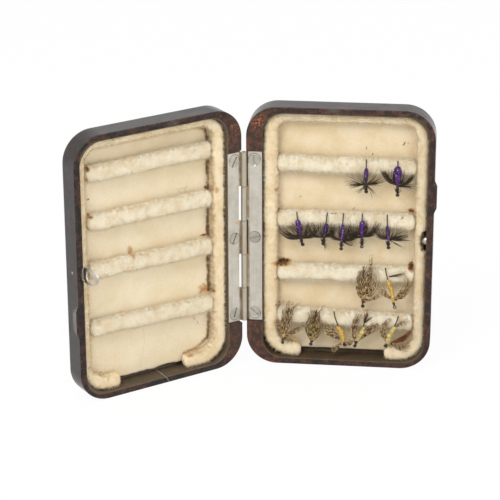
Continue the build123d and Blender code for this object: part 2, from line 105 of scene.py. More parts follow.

# Metal parts: bright and dull colours, rust, dirt round the screws and a brown band beside the barrel on the
# leaves, and where to look for the screws' heads
LEAF_NICKEL = ((0.665, 0.63, 0.545), (0.56, 0.525, 0.445))
SCREW_NICKEL = ((0.56, 0.53, 0.46), (0.42, 0.39, 0.33))
PIN_STEEL = ((0.42, 0.39, 0.34), (0.3, 0.26, 0.2))
CATCH_NICKEL = ((0.75, 0.70, 0.625), (0.50, 0.455, 0.39))
STUD_NICKEL = ((0.60, 0.565, 0.50), (0.42, 0.38, 0.32))
RIVET_BRASS = ((0.62, 0.53, 0.38), (0.48, 0.38, 0.25))
CORE_IRON = ((0.16, 0.07, 0.03), (0.3, 0.14, 0.06))
LEAF_RUST = {
    "right": ((1.6, 79.6), (1.6, 49.4)),
    "left": ((2.6, 79.4), (2.4, 49.0), (2.2, 34.3), (3.1, 63.8), (5.6, 58.4), (2.2, 22.0)),
}
LEAF_RUST_REACH = 1.5
LEAF_RUST_COLOUR = (0.52, 0.25, 0.075)
SCREW_FACE = 0.05
SCREW_REACH = 4.0
RING_RADIUS = 2.42
BARREL_EDGE = 1.1
BARREL_BAND_END = (2.45, 1.9)
RING_DIRT = (0.13, 0.105, 0.075)
BARREL_TINT = (0.42, 0.335, 0.215)
BARREL_BAND_BROWN = (0.26, 0.155, 0.07)

# Colours of the felt and the pile
OCHRE = (0.50, 0.26, 0.085)
DARK_RUST = (0.085, 0.035, 0.016)
GRIME = (0.135, 0.07, 0.03)
SEAM_TAN = (0.40, 0.26, 0.12)
SCRATCH_BROWN = (0.42, 0.28, 0.15)
# The soil brown also paints shade along the felt's edges
SOIL_AND_SHADE_BROWN = (0.52, 0.36, 0.19)
SCRATCH_SHARE = 0.42
SOIL_AND_SHADE_SHARE = 0.55
SEAM_SHARE = 0.62
GRIME_SHARE = 0.92
FELT_COLOURS = {
    "right": ((0.735, 0.62, 0.43), (0.665, 0.525, 0.32)),
    "left": ((0.825, 0.72, 0.525), (0.775, 0.65, 0.435)),
}
PILE_COLOURS = {
    ("right", "cross"): ((0.79, 0.715, 0.56), (0.70, 0.585, 0.40)),
    ("left", "cross"): ((0.81, 0.725, 0.555), (0.73, 0.60, 0.405)),
    ("right", "edge"): ((0.81, 0.69, 0.49), (0.73, 0.575, 0.355)),
    ("left", "edge"): ((0.87, 0.735, 0.515), (0.795, 0.62, 0.375)),
}

# Felt pads
FELT_STEP = 0.34
FELT_ROLL = 1.0
FELT_ROLL_DEPTH = 0.7
FELT_WAVE = 0.16
FELT_HINGE_CORNER = 7.3
FELT_FREE_CORNER = 8.8
FELT_CUT_REACH = 2.5
FELT_RAGGED = {"right": 0.12, "left": 0.45}
FELT_DROP = {"right": 0.45, "left": 0.0}
# Painted shade along the felt's edges: browner and darker there, fading out towards its bottom edge
FELT_EDGE_SHADE = 0.35
FELT_EDGE_SHADE_REACH = 2.4
FELT_EDGE_SHADE_START = (2, 8)
FELT_PATCH_SOIL = 0.22

# Pile strips: their skin
PILE_STEP = 0.45
PILE_ROUND = 44
PILE_FLATNESS = 0.62
PILE_FLANK = 0.45
PILE_RIB = 2.6
RIB_SLANT = 0.5
RIB_WANDER = 1.5
PILE_END = 1.9
PILE_WANDER = 0.3
PILE_SKIN_SINK = 0.08
TUFT_LEVEL = 0.7
TUFT_ASIDE = 0.75
TUFT_OUT = 0.14
BROAD_LUMPS = 0.06
FINE_LUMPS = 0.035
EDGE_HALF_WIDTH = 2.9
EDGE_CORNERS = (8.6, 5.4, 6.9, 7.6)
EDGE_TOP_SHARE = {"right": 0.66, "left": 0.62}
EDGE_FAR_SHARE = {"right": 0.78, "left": 0.6}
EDGE_SINK = 2.6
EDGE_TURN = {"end": 1.0, "top": 7.0, "far": 6.0, "foot": 9.0}
CROSS_REACH = {"right": (0.7, 1.6), "left": (0.4, 2.4)}
CROSS_END = 2.0

# Seeds of the random draws
SIDE_SEED = {"right": 5, "left": 4}
CROSS_SEED = 40
EDGE_SEED = 70
FLY_SEED = 200

# Their fibres: how many to a millimetre, how many of them at the sides, their sizes and how far they stray.
# Angles round a strip are shares of half a turn.
PILE_DENSITY = {"cross": 74, "edge": 56}
PILE_AT_SIDES = 0.6
SIDE_SPREAD = 0.13
FRONT_ARC = (0.1, 0.9)
PILE_LENGTH = (0.5, 1.5)
LONG_FIBRES = 0.08
LONG_FIBRE_GAIN = 1.6
PILE_RADIUS = 0.06
PILE_THICKNESS = (0.75, 1.25)
PILE_TAPER = (1.0, 0.4)
PILE_RUST_AND_SHADOW = 0.8
PILE_GRIME = 0.6
FIBRE_ROOT = 0.35
FIBRE_AIM = 0.6
FIBRE_STRAY = 0.3
FIBRE_FRONT = 0.45

# Where the right edge strip is squeezed beside the closed catch loop
PINCH_REACH = 3.6
PINCH_FADE = 2.0
PINCH_NARROWER = 0.45
PINCH_DEEPER = 0.6
PINCH_ASIDE = 1.0

# Room that the closed catch loop needs beside the right shell's free wall, also when it is flexed
LOOP_HEIGHT = 57.0
LOOP_HALF_HEIGHT = 4.0
LOOP_FADE = 1.4
LOOP_NEAR = 74.1
LOOP_LEAN = 0.36
LIP_DEPTH = 5.6
LIP_LEAN = 1.0
LOOP_FREE = 5.0
LOOP_NOTCH = (70.4, 70.9)
LOOP_NOTCH_FADE = 0.35
LOOP_NOTCH_DEPTH = 8.35

# Flies
HOOK_RADIUS = 0.24
SHANK_DEPTHS = (0.5, 2.1)
LEAST_DEPTH = 0.15
HOOK_TOP = 0.5
HOOK_BEND = 1.9
HOOK_EYE = 1.4
BODY_STATIONS = 60
BODY_SIDES = 14
BODY_TURNS = 8
BODY_TURN_DEPTH = 0.08
BODY_RAGGED = 0.1
BODY_TAPER = (0.06, 0.88, 0.3)
LEAST_BODY = HOOK_RADIUS + 0.05
THREAD_START = 0.04
THREAD_RADIUS = 0.32
THREAD_SWELL = 0.26
THREAD_SIDES = 12
THREAD_STATIONS = 14
HEAD_START = 0.965
HEAD_END = 1.035
HEAD_RADIUS = 0.62
HEAD_STATIONS = 7
HEAD_CUT = 0.96
COLLAR_SHARES = (0.94, 0.84, 0.7)
COLLAR_FIBRES = 30

# Their hackle fibres: shares of a bundle's length, how far they stand off its path, and their depths
FIBRE_STATIONS = 8
FIBRE_LENGTHS = (0.6, 1.08)
LONGEST_FIBRE = 1.1
FIBRE_SPREAD = 0.55
WIDEST_FIBRE = 1.15
FIBRE_BIAS = 0.1
FIBRE_CURL = 0.35
FIBRE_DEPTH = 1.7
FIBRE_RISE = (-0.1, 1.5)
FIBRE_ARCH = 0.25
FIBRE_RADIUS = {"dark": 0.09, "partridge": 0.105, "oval": 0.105, "red": 0.09}
FIBRE_THICKNESS = (0.7, 1.3)
FIBRE_TAPER = (1.0, 0.85, 0.25)


class Side(NamedTuple):
    """A shell's axes: along leads away from the hinge, and deep leads behind the rim."""
    name: str
    along: np.ndarray
    deep: np.ndarray
    origin: np.ndarray

    @property
    def body(self):
        return f"{self.name}_half"


def make_side(name, turn, hand):
    hinge = np.array(LID_HINGE["pos_m"]) / MM * (1, 1, 0)
    along = np.array([np.cos(turn), np.sin(turn), 0])
    deep = hand * np.array([-np.sin(turn), np.cos(turn), 0])
    rim = ((node_points(f"{name}_shell") - hinge) @ deep).min()
    return Side(name, along, deep, hinge + deep * rim)


def node_points(node):
    """A CAD node's vertices in millimetres, in the frame's axes."""
    mesh = frame["nodes"][node].data
    points = np.empty(len(mesh.vertices) * 3, np.float32)
    mesh.vertices.foreach_get("co", points)
    return points.reshape(-1, 3).astype(float) / MM


def local_points(side, node):
    """A CAD node's vertices as (across, height, depth) in its shell."""
    points = node_points(node) - side.origin
    return np.stack([points @ side.along, points[:, 2], points @ side.deep], axis=1)


def place(side, points):
    """(across, height, depth) points of a shell, in the frame's axes."""
    across, height, depth = np.moveaxis(np.asarray(points, float)[..., None], -2, 0)
    return side.origin + across * side.along + height * np.array([0, 0, 1.0]) + depth * side.deep


LID_HINGE = next(joint for joint in frame["joints"] if joint["name"] == "lid_hinge")
RIGHT = make_side("right", 0, 1)
LEFT = make_side("left", -radians(LID_HINGE["range_deg"][1]), -1)
SIDES = (RIGHT, LEFT)


# Numbers that vary smoothly or at random, the same in every run

def unit(vectors):
    return vectors / np.maximum(np.linalg.norm(vectors, axis=-1, keepdims=True), 1e-9)


def smooth_step(low, high, values):
    share = np.clip((values - low) / (high - low), 0, 1)
    return share * share * (3 - 2 * share)


def smooth_noise(points, cell, seed):
    """Smooth noise from -1 to 1, one random value for each corner of a lattice of cells."""
    size = 32
    table = np.random.default_rng(seed).uniform(-1, 1, (size, size, size))
    scaled = np.asarray(points, float) / cell
    low = np.floor(scaled).astype(int)
    share = scaled - low
    share = share * share * (3 - 2 * share)
    total = np.zeros(scaled.shape[:-1])
    for corner in product((0, 1), repeat=3):
        weight = np.prod(np.where(corner, share, 1 - share), axis=-1)
        at = (low + corner) % size
        total += weight * table[at[..., 0], at[..., 1], at[..., 2]]
    return total


def flat_noise(across, height, cell, seed):
    return smooth_noise(np.stack([across, height, np.zeros_like(across)], axis=-1), cell, seed)


# Stains: where rust from the wire cores and the hooks has run into the felt and the pile; one of them is a painted
# shadow of a fly's wing

class Blot(NamedTuple):
    across: float
    height: float
    half_across: float
    half_height: float
    rust: float


STAINS_AND_SHADOW = {
    "left": (
        Blot(70.6, 99.9, 0.7, 0.9, 0.95),
        Blot(71.2, 95.3, 0.5, 0.9, 0.6),
        Blot(69.3, 85.8, 0.6, 0.3, 1.0),
        Blot(70.3, 79.5, 0.9, 0.4, 0.85),
        Blot(70.2, 74.5, 1.2, 0.8, 0.25),
        Blot(62.0, 97.7, 1.6, 1.1, 0.22),
        Blot(38.3, 97.2, 2.8, 1.2, 0.2),
        Blot(14.4, 96.8, 0.8, 0.7, 0.45),
        Blot(11.7, 79.4, 1.0, 1.2, 0.5),
        Blot(14.6, 80.1, 0.8, 0.6, 0.9),
        Blot(26.1, 81.8, 2.4, 0.4, 0.22),
        Blot(50.7, 60.6, 1.1, 1.4, 0.42),
        Blot(51.3, 58.6, 0.5, 1.0, 0.6),
        Blot(16.0, 35.2, 2.3, 1.8, 0.52),
        Blot(13.9, 34.6, 0.9, 0.8, 0.95),
        Blot(16.0, 59.4, 1.5, 0.5, 0.8),
        Blot(15.3, 50.8, 1.2, 0.5, 0.8),
        Blot(13.2, 25.6, 1.0, 0.5, 0.4),
        Blot(22.0, 9.0, 2.8, 0.35, 0.5),
        Blot(25.6, 8.2, 1.3, 0.45, 0.6),
        Blot(67.7, 9.9, 0.7, 0.35, 0.6),
        Blot(66.0, 9.4, 0.6, 0.35, 0.6),
    ),
    "right": (
        Blot(14.9, 104.9, 0.6, 0.5, 0.6),
        Blot(13.0, 77.4, 0.5, 0.9, 0.6),
        Blot(14.6, 67.7, 1.9, 0.3, 0.6),
        Blot(68.8, 69.2, 1.4, 0.7, 0.85),
        Blot(69.3, 61.2, 0.6, 0.7, 0.6),
        Blot(15.6, 44.7, 2.6, 0.9, 1.0),
        Blot(13.5, 37.6, 1.1, 0.45, 0.6),
        Blot(69.4, 45.0, 0.9, 1.3, 1.0),
        Blot(13.5, 25.7, 0.8, 0.5, 0.7),
        Blot(70.6, 20.9, 0.5, 1.5, 0.55),
        # Not a stain: a painted shadow of fly 10's wing on the felt and the pile, drawn in the stain colours
        Blot(12.9, 17.6, 1.6, 1.4, 0.35),
    ),
}
# Grimy seams between the felt and the edge strip, as runs of (across, height, strength)
SEAMS = {
    "left": (
        ((24.8, 108.6, 0.0), (14.7, 105.2, 0.7), (13.6, 100.6, 1.0), (13.5, 98.4, 0.3)),
        ((13.4, 93.4, 0.7), (13.9, 90.0, 0.85), (13.6, 86.5, 0.8), (13.5, 79.6, 1.0)),
        ((13.5, 72.8, 0.7), (13.7, 66.0, 0.9), (14.0, 59.0, 1.0)),
        ((14.2, 50.8, 0.9), (13.8, 44.3, 0.8), (13.8, 36.0, 0.95)),
        ((14.4, 25.0, 0.5), (14.2, 17.4, 0.8), (14.8, 13.0, 0.9), (20.3, 9.2, 0.5), (26.0, 8.1, 0.5)),
    ),
    "right": (
        ((66.9, 107.9, 0.1), (15.4, 106.9, 0.2), (13.6, 104.0, 0.45), (13.4, 95.0, 0.15)),
        ((13.4, 84.5, 0.15), (13.4, 70.0, 0.3)),
        ((13.4, 61.0, 0.2), (13.4, 47.0, 0.3)),
        ((13.6, 37.0, 0.45), (13.5, 26.0, 0.3)),
    ),
}
SEAM_HALF_WIDTH = 0.95
# Thin scratches in the felt, each from one (across, height) to another
SCRATCHES = {
    "left": (
        (16, 74, 40, 101), (24, 93, 21, 84), (28, 86, 35, 92),
        (62, 87, 34, 91), (46, 28, 48, 6), (58, 44, 50, 52),
    ),
    "right": ((30, 34, 40, 36), (16, 74, 22, 60), (20, 100, 42, 98)),
}
SCRATCH_HALF_WIDTH = 0.3
SCRATCH_BOW = 1.6


def rust_and_shadow_at(side, across, height):
    """How rusty a place is, from 0, clean, to 1, dark brown. One of the stains is a painted shadow."""
    ragged = 0.4 * flat_noise(across, height, 0.8, 12) + 0.2 * flat_noise(across, height, 2.0, 13)
    rust = np.zeros_like(across)
    for blot in STAINS_AND_SHADOW[side.name]:
        off_across = (across - blot.across) / blot.half_across
        off_height = (height - blot.height) / blot.half_height
        spread = smooth_step(1.9, 0.45, np.hypot(off_across, off_height) + ragged)
        rust = np.maximum(rust, blot.rust * spread)
    return np.clip(rust, 0, 1)


def beside_run(across, height, start, end):
    """How far along a straight run a place lies, as a share, and its offsets from the run."""
    run_across, run_height = end[0] - start[0], end[1] - start[1]
    off_across, off_height = across - start[0], height - start[1]
    share = (off_across * run_across + off_height * run_height) / (run_across**2 + run_height**2)
    share = np.clip(share, 0, 1)
    return share, off_across - share * run_across, off_height - share * run_height


def grime_at(side, across, height):
    """How grimy a place is that lies near a seam, from 0 to 1."""
    wander = 0.35 * flat_noise(across, height, 2.6, 11)
    ragged = 0.5 * flat_noise(across, height, 0.8, 14)
    grime = np.zeros_like(across)
    for seam in SEAMS[side.name]:
        for start, end in zip(seam, seam[1:]):
            share, off_across, off_height = beside_run(across, height, start, end)
            off = np.hypot(off_across + wander, off_height) / SEAM_HALF_WIDTH
            strength = start[2] + share * (end[2] - start[2])
            grime = np.maximum(grime, strength * smooth_step(1.8, 0.0, off + ragged))
    return np.clip(grime, 0, 1)


def scratch_at(side, across, height):
    """How deep a place lies in one of the thin scratches in the felt, from 0 to 1."""
    deepest = np.zeros_like(across)
    for scratch in SCRATCHES[side.name]:
        share, off_across, off_height = beside_run(across, height, scratch[:2], scratch[2:])
        arch = np.sin(share * np.pi)
        off = np.hypot(off_across + SCRATCH_BOW * arch, off_height)
        deepest = np.maximum(deepest, smooth_step(SCRATCH_HALF_WIDTH, 0, off) * (0.3 + 0.7 * arch))
    return deepest


# Meshes

def new_piece(name, body, slot, vertices, faces, materials, face_materials=None, **values):
    """A mesh piece from millimetre vertices and arrays of faces, with named values at its vertices."""
    mesh = bpy.data.meshes.new(name)
    mesh.vertices.add(len(vertices))
    mesh.vertices.foreach_set("co", (vertices * MM).astype(np.float32).ravel())
    corners = np.concatenate([group.ravel() for group in faces]).astype(np.int32)
    sides = np.concatenate([np.full(len(group), group.shape[1]) for group in faces])
    mesh.loops.add(len(corners))
    mesh.loops.foreach_set("vertex_index", corners)
    mesh.polygons.add(len(sides))
    mesh.polygons.foreach_set("loop_start", np.concatenate([[0], np.cumsum(sides)[:-1]]).astype(np.int32))
    if face_materials is not None:
        mesh.polygons.foreach_set("material_index", face_materials.astype(np.int32))
    mesh.polygons.foreach_set("use_smooth", np.full(len(sides), True))
    for key, value in values.items():
        attribute = mesh.attributes.new(key, "FLOAT", "POINT")
        attribute.data.foreach_set("value", np.asarray(value, np.float32))
    for material in materials:
        mesh.materials.append(material)
    mesh.update(calc_edges=True)
    piece = bpy.data.objects.new(name, mesh)
    bpy.context.scene.collection.objects.link(piece)
    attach(piece, body)
    return piece


def square_to(along):
    """Two unit vectors square to each direction."""
    helper = np.where(np.abs(along[:, 2:]) < 0.9, (0.0, 0.0, 1.0), (1.0, 0.0, 0.0))
    first = unit(np.cross(along, helper))
    return first, np.cross(along, first)


def ring_faces(count, stations, sides):
    """The walls and the two sets of end caps of tubes whose rings of vertices follow each other."""
    here, after = np.arange(sides), (np.arange(sides) + 1) % sides
    foot = np.arange(count)[:, None] * stations * sides
    start = foot[..., None] + np.arange(stations - 1)[:, None] * sides
    walls = np.stack([start + here, start + after, start + sides + after, start + sides + here], axis=-1)
    return [walls.reshape(-1, 4), foot + here[::-1], foot + (stations - 1) * sides + here]


def strands(lines, radii, sides):
    """Closed thin tubes along many lines at once: lines is (count, points, 3) and radii (count, points)."""
    count, stations, _ = lines.shape
    first, second = square_to(unit(lines[:, -1] - lines[:, 0]))
    turns = np.arange(sides)[:, None] * 2 * np.pi / sides
    ring = np.cos(turns) * first[:, None] + np.sin(turns) * second[:, None]
    vertices = lines[:, :, None] + radii[:, :, None, None] * ring[:, None]
    return vertices.reshape(-1, 3), ring_faces(count, stations, sides)


def tube(centres, radii, sides):
    """A closed tube of round rings along a line that doesn't turn sharply."""
    first, second = square_to(unit(np.gradient(centres, axis=0)))
    turns = np.arange(sides)[:, None, None] * 2 * np.pi / sides
    ring = np.cos(turns) * first + np.sin(turns) * second
    vertices = (centres + ring * np.asarray(radii)[:, None]).transpose(1, 0, 2).reshape(-1, 3)
    return vertices, ring_faces(1, len(centres), sides)


class Gather:
    """Joins many forms, each with its own material, into the arrays of one piece."""

    def __init__(self):
        self.vertices, self.faces, self.looks, self.tones, self.shares = [], [], [], [], []
        self.total = 0

    def add(self, vertices, faces, look, tone=0.5, share=0.0):
        self.vertices.append(vertices)
        for group in faces:
            self.faces.append(group + self.total)
            self.looks.append(np.full(len(group), look))
        self.tones.append(np.broadcast_to(tone, len(vertices)))
        self.shares.append(np.broadcast_to(share, len(vertices)))
        self.total += len(vertices)

    def add_tube(self, centres, radii, sides, look, tone=0.5, share=0.0):
        self.add(*tube(centres, radii, sides), look, tone, share)

    def add_strands(self, lines, radii, look, tone, sides=3):
        """tone is one value for each strand; a strand's share runs from 0 at its root to 1 at its tip."""
        count, stations, _ = lines.shape
        share = np.tile(np.repeat(np.linspace(0, 1, stations), sides), count)
        self.add(*strands(lines, radii, sides), look, np.repeat(tone, stations * sides), share)

    def piece(self, name, side, slot, materials):
        vertices, looks = np.concatenate(self.vertices), np.concatenate(self.looks)
        tones, shares = np.concatenate(self.tones), np.concatenate(self.shares)
        return new_piece(
            name, side.body, slot, vertices, self.faces, materials, looks, tone=tones, share=shares
        )


# Shader nodes

class Signal:
    """What a shader node puts out. Arithmetic on it makes math nodes."""

    def __init__(self, socket):
        self.socket = socket
        self.tree = socket.id_data

    def __add__(self, other):
        return mathematics("ADD", self, other)

    def __sub__(self, other):
        return mathematics("SUBTRACT", self, other)

    def __rsub__(self, other):
        return mathematics("SUBTRACT", other, self)

    def __mul__(self, other):
        return mathematics("MULTIPLY", self, other)

    def __truediv__(self, other):
        return mathematics("DIVIDE", self, other)

    def clamped(self):
        """Keeps the math node that gives this signal between 0 and 1."""
        self.socket.node.use_clamp = True
        return self


def tree_of(*values):
    return next(value.tree for value in values if isinstance(value, Signal))


def fill(socket, value):
    """Links a signal to a node's input, or sets a number, a vector or a colour on it."""
    if isinstance(value, Signal):
        value.tree.links.new(value.socket, socket)
    elif socket.type == "RGBA" and len(value) == 3:
        socket.default_value = (*value, 1)
    else:
        socket.default_value = value


def add_node(tree, kind, inputs=(), **settings):
    """A node with its settings, and with each input given as a number, a vector, a colour or a signal."""
    node = tree.nodes.new(kind)
    for key, value in settings.items():
        setattr(node, key, value)
    for key, value in dict(inputs).items():
        fill(node.inputs[key], value)
    return node


def mathematics(operation, *values):
    node = add_node(tree_of(*values), "ShaderNodeMath", enumerate(values), operation=operation)
    return Signal(node.outputs[0])


def vector_math(operation, *vectors):
    """A vector, or a number where the operation gives one."""
    node = add_node(tree_of(*vectors), "ShaderNodeVectorMath", enumerate(vectors), operation=operation)
    gives_number = operation in ("DOT_PRODUCT", "DISTANCE", "LENGTH")
    return Signal(node.outputs["Value" if gives_number else "Vector"])


def between(value, low, high, to_low=0.0, to_high=1.0):
    """A smooth step from one value to another as the input goes from low to high."""
    inputs = {"Value": value, "From Min": low, "From Max": high, "To Min": to_low, "To Max": to_high}
    node = add_node(tree_of(value), "ShaderNodeMapRange", inputs, interpolation_type="SMOOTHSTEP")
    return Signal(node.outputs["Result"])


def mixed(share, first, second, blend="MIX"):
    """Two colours mixed by a share."""
    inputs = {0: share, 6: first, 7: second}
    node = add_node(tree_of(*inputs.values()), "ShaderNodeMix", inputs, data_type="RGBA", blend_type=blend)
    return Signal(node.outputs[2])


def shaded(colour, shade):
    """A colour multiplied by one number in all three of its parts."""
    inputs = {"Red": shade, "Green": shade, "Blue": shade}
    grey = add_node(shade.tree, "ShaderNodeCombineColor", inputs).outputs[0]
    return mixed(1.0, colour, Signal(grey), "MULTIPLY")


def noise(coordinates, scale, detail=2.0, roughness=0.5, distortion=0.0):
    inputs = {"Vector": coordinates, "Scale": scale, "Detail": detail, "Roughness": roughness}
    inputs["Distortion"] = distortion
    return Signal(add_node(coordinates.tree, "ShaderNodeTexNoise", inputs).outputs["Fac"])


def new_group(name, inputs, outputs):
    """A shader node group with named sockets, the signals that it is given, and its outputs to fill."""
    group = bpy.data.node_groups.new(name, "ShaderNodeTree")
    for key, (kind, value) in inputs.items():
        socket = group.interface.new_socket(key, in_out="INPUT", socket_type=f"NodeSocket{kind}")
        if value is not None:
            socket.default_value = value
    for key, kind in outputs.items():
        group.interface.new_socket(key, in_out="OUTPUT", socket_type=f"NodeSocket{kind}")
    sockets = group.nodes.new("NodeGroupInput").outputs
    given = {socket.name: Signal(socket) for socket in sockets if socket.name}
    return group, given, group.nodes.new("NodeGroupOutput").inputs


def placed(group, **inputs):
    """A node group in a material, with its own values; underscores stand for spaces in socket names."""
    inputs = {key.replace("_", " "): value for key, value in inputs.items()}
    node = tree_of(*inputs.values()).nodes.new("ShaderNodeGroup")
    node.node_tree = group
    for key, value in inputs.items():
        fill(node.inputs[key], value)
    return {socket.name: Signal(socket) for socket in node.outputs}


def make_mottle_group():
    """Grains and clouds of a second and a third colour in a moulded powder."""
    inputs = {
        "Vector": ("Vector", None), "Grain Scale": ("Float", 900.0), "Cloud Scale": ("Float", 90.0),
    }
    outputs = {"Cloud": "Float", "Ember": "Float", "Fleck": "Float"}
    group, given, wanted = new_group("moulded_mottle", inputs, outputs)
    cloud = noise(given["Vector"], given["Cloud Scale"], 4.0, 0.62, 0.4)
    grain = noise(given["Vector"], given["Grain Scale"], 3.0, 0.7)
    fill(wanted["Cloud"], between(cloud * 0.62 + grain * 0.38, 0.44, 0.62))
    ember = noise(given["Vector"], given["Cloud Scale"] * 0.55, 3.0, 0.6, 0.6) * grain
    fill(wanted["Ember"], between(ember, 0.3, 0.42))
    fill(wanted["Fleck"], between(grain, 0.66, 0.74))
    return group


def make_brushed_group():
    """Fine lines along one direction, with broader dull and bright areas."""
    inputs = {
        "Vector": ("Vector", None), "Line Scale": ("Vector", (3000.0, 3000.0, 60.0)),
        "Patch Scale": ("Float", 120.0),
    }
    group, given, wanted = new_group("brushed_lines", inputs, {"Line": "Float", "Patch": "Float"})
    stretched = vector_math("MULTIPLY", given["Vector"], given["Line Scale"])
    fill(wanted["Line"], noise(stretched, 1.0, 2.0))
    fill(wanted["Patch"], noise(given["Vector"], given["Patch Scale"], 4.0, 0.6))
    return group


def make_aged_cloth_group():
    """A cloth's colour with uneven ageing, rust that runs from ochre to dark brown (one stain is a painted
    shadow), and a fibrous height.
    """
    inputs = {
        "Vector": ("Vector", None), "Pale": ("Color", None), "Aged": ("Color", None),
        "Cloud Scale": ("Float", 60.0), "Fibre Scale": ("Float", 1500.0),
        "Rust": ("Float", 0.0), "Contrast": ("Float", 0.08),
    }
    group, given, wanted = new_group("aged_cloth", inputs, {"Color": "Color", "Height": "Float"})
    clouds = between(noise(given["Vector"], given["Cloud Scale"], 4.0, 0.6), 0.36, 0.68)
    fibre = noise(given["Vector"], given["Fibre Scale"], 3.0, 0.65)
    colour = mixed(clouds, given["Pale"], given["Aged"])
    colour = shaded(colour, between(fibre, 0.25, 0.75, 1.0 - given["Contrast"], 1.0))
    rust = (given["Rust"] * between(fibre, 0.2, 0.6, 0.65, 1.1)).clamped()
    colour = mixed(between(rust, 0.02, 0.62), colour, OCHRE)
    fill(wanted["Color"], mixed(between(rust, 0.42, 0.9), colour, DARK_RUST))
    fill(wanted["Height"], fibre)
    return group


MOTTLE = make_mottle_group()
BRUSHED = make_brushed_group()
AGED_CLOTH = make_aged_cloth_group()


class Finish:
    """A material with a Principled BSDF, and the object coordinates that its patterns follow."""

    def __init__(self, name, **values):
        self.material = bpy.data.materials.new(name)
        self.material.use_nodes = True
        self.tree = self.material.node_tree
        self.shader = self.tree.nodes["Principled BSDF"]
        self.set(**values)
        outputs = self.tree.nodes.new("ShaderNodeTexCoord").outputs
        self.coordinates, self.normal = Signal(outputs["Object"]), Signal(outputs["Normal"])

    def set(self, **values):
        """Sets or links the shader's inputs; underscores stand for spaces in their names."""
        for key, value in values.items():
            fill(self.shader.inputs[key.replace("_", " ")], value)

    def bump(self, height, distance):
        inputs = {"Height": height, "Distance": distance * MM, "Strength": 1.0}
        self.set(Normal=Signal(add_node(self.tree, "ShaderNodeBump", inputs).outputs["Normal"]))

    def vertex_value(self, key):
        node = add_node(self.tree, "ShaderNodeAttribute", attribute_name=key)
        return Signal(node.outputs["Fac"])


def distance_from(coordinates, point):
    """Distance in millimetres from a point of the frame."""
    return vector_math("DISTANCE", coordinates, tuple(point * MM)) / MM


def shell_numbers(coordinates, side):
    """A place's across and height on its shell, in millimetres."""
    start = tuple(np.array(place(side, (0.0, 0.0, 0.0))) * MM)
    offset = vector_math("SUBTRACT", coordinates, start)
    return [vector_math("DOT_PRODUCT", offset, axis) / MM for axis in (tuple(side.along), (0.0, 0.0, 1.0))]


def outside_of(across, height, low, high, corner):
    """How far a place lies outside a rectangle with rounded corners."""
    spot = add_node(across.tree, "ShaderNodeCombineXYZ", {"X": across, "Y": height}).outputs[0]
    away = vector_math("SUBTRACT", Signal(spot), (*(low + high) / 2, 0.0))
    past = vector_math("SUBTRACT", vector_math("ABSOLUTE", away), (*(high - low) / 2 - corner, 0.0))
    return vector_math("LENGTH", vector_math("MAXIMUM", past, (0.0, 0.0, 0.0))) - corner


def moulding(side):
    """Polished dark brown moulding, mottled red and orange where the rim was cut through its skin."""
    finish = Finish(f"{side.name}_moulding", IOR=1.5, Specular_IOR_Level=0.3)
    spot = finish.coordinates
    mottle = placed(MOTTLE, Vector=spot, Grain_Scale=1500.0, Cloud_Scale=330.0)
    across, height = shell_numbers(spot, side)
    local = local_points(side, f"{side.name}_shell")
    low, high = local.min(0), local.max(0)
    facing = vector_math("DOT_PRODUCT", finish.normal, tuple(-side.deep))
    # The rim is the reddest beside the hinge
    far_cut, near_cut = (mixed(mottle["Cloud"], *pair) for pair in (FAR_CUT[side.name], NEAR_CUT))
    cut = mixed(between(across, *RED_REACH), far_cut, near_cut)
    warm = between(distance_from(spot, place(side, WARM_CORNERS[side.name])), WARM_REACH[side.name], 2.0)
    cut = mixed((mottle["Ember"] * (warm * 0.8 + 0.2)).clamped(), cut, EMBER)
    cut = mixed(mottle["Fleck"] * 0.14, cut, FLECK)
    # Grey-green bloom in patches along the top of the rim
    bloom = between(noise(spot, 140.0, 4.0, 0.7), 0.52, 0.68) * 0.55
    bloom = bloom * between(height, *(high[1] - BLOOM_DROP)) * between(across, *BLOOM_START)
    cut = mixed(bloom, cut, BLOOM)
    # Inside the walls the moulding is dull and olive, and its colour there is darkened as painted shade, most in
    # the right shell
    inner_low = low[:2] + (HINGE_WALL, SIDE_WALL)
    inner_high = high[:2] - (SIDE_WALL + TAB_REACH, SIDE_WALL)
    inside = between(outside_of(across, height, inner_low, inner_high, INNER_CORNER), 0.6, 0.2)
    inside = inside * between(facing, -0.4, -0.2)
    rim = between(facing, 0.3, 0.8) * (1.0 - inside)
    skin = mixed(mottle["Cloud"], *OUTER_SKIN)
    skin = mixed(inside, skin, mixed(mottle["Cloud"], *INNER_SKIN_AND_SHADE[side.name]))
    wear = between(noise(spot, 160.0, 4.0), 0.35, 0.7, 0.18, 0.32)
    finish.set(Base_Color=mixed(rim, skin, cut), Roughness=wear + rim * 0.14 + inside * 0.25)
    finish.bump(noise(spot, 1600.0, 2.0), 0.004)
    return finish.material


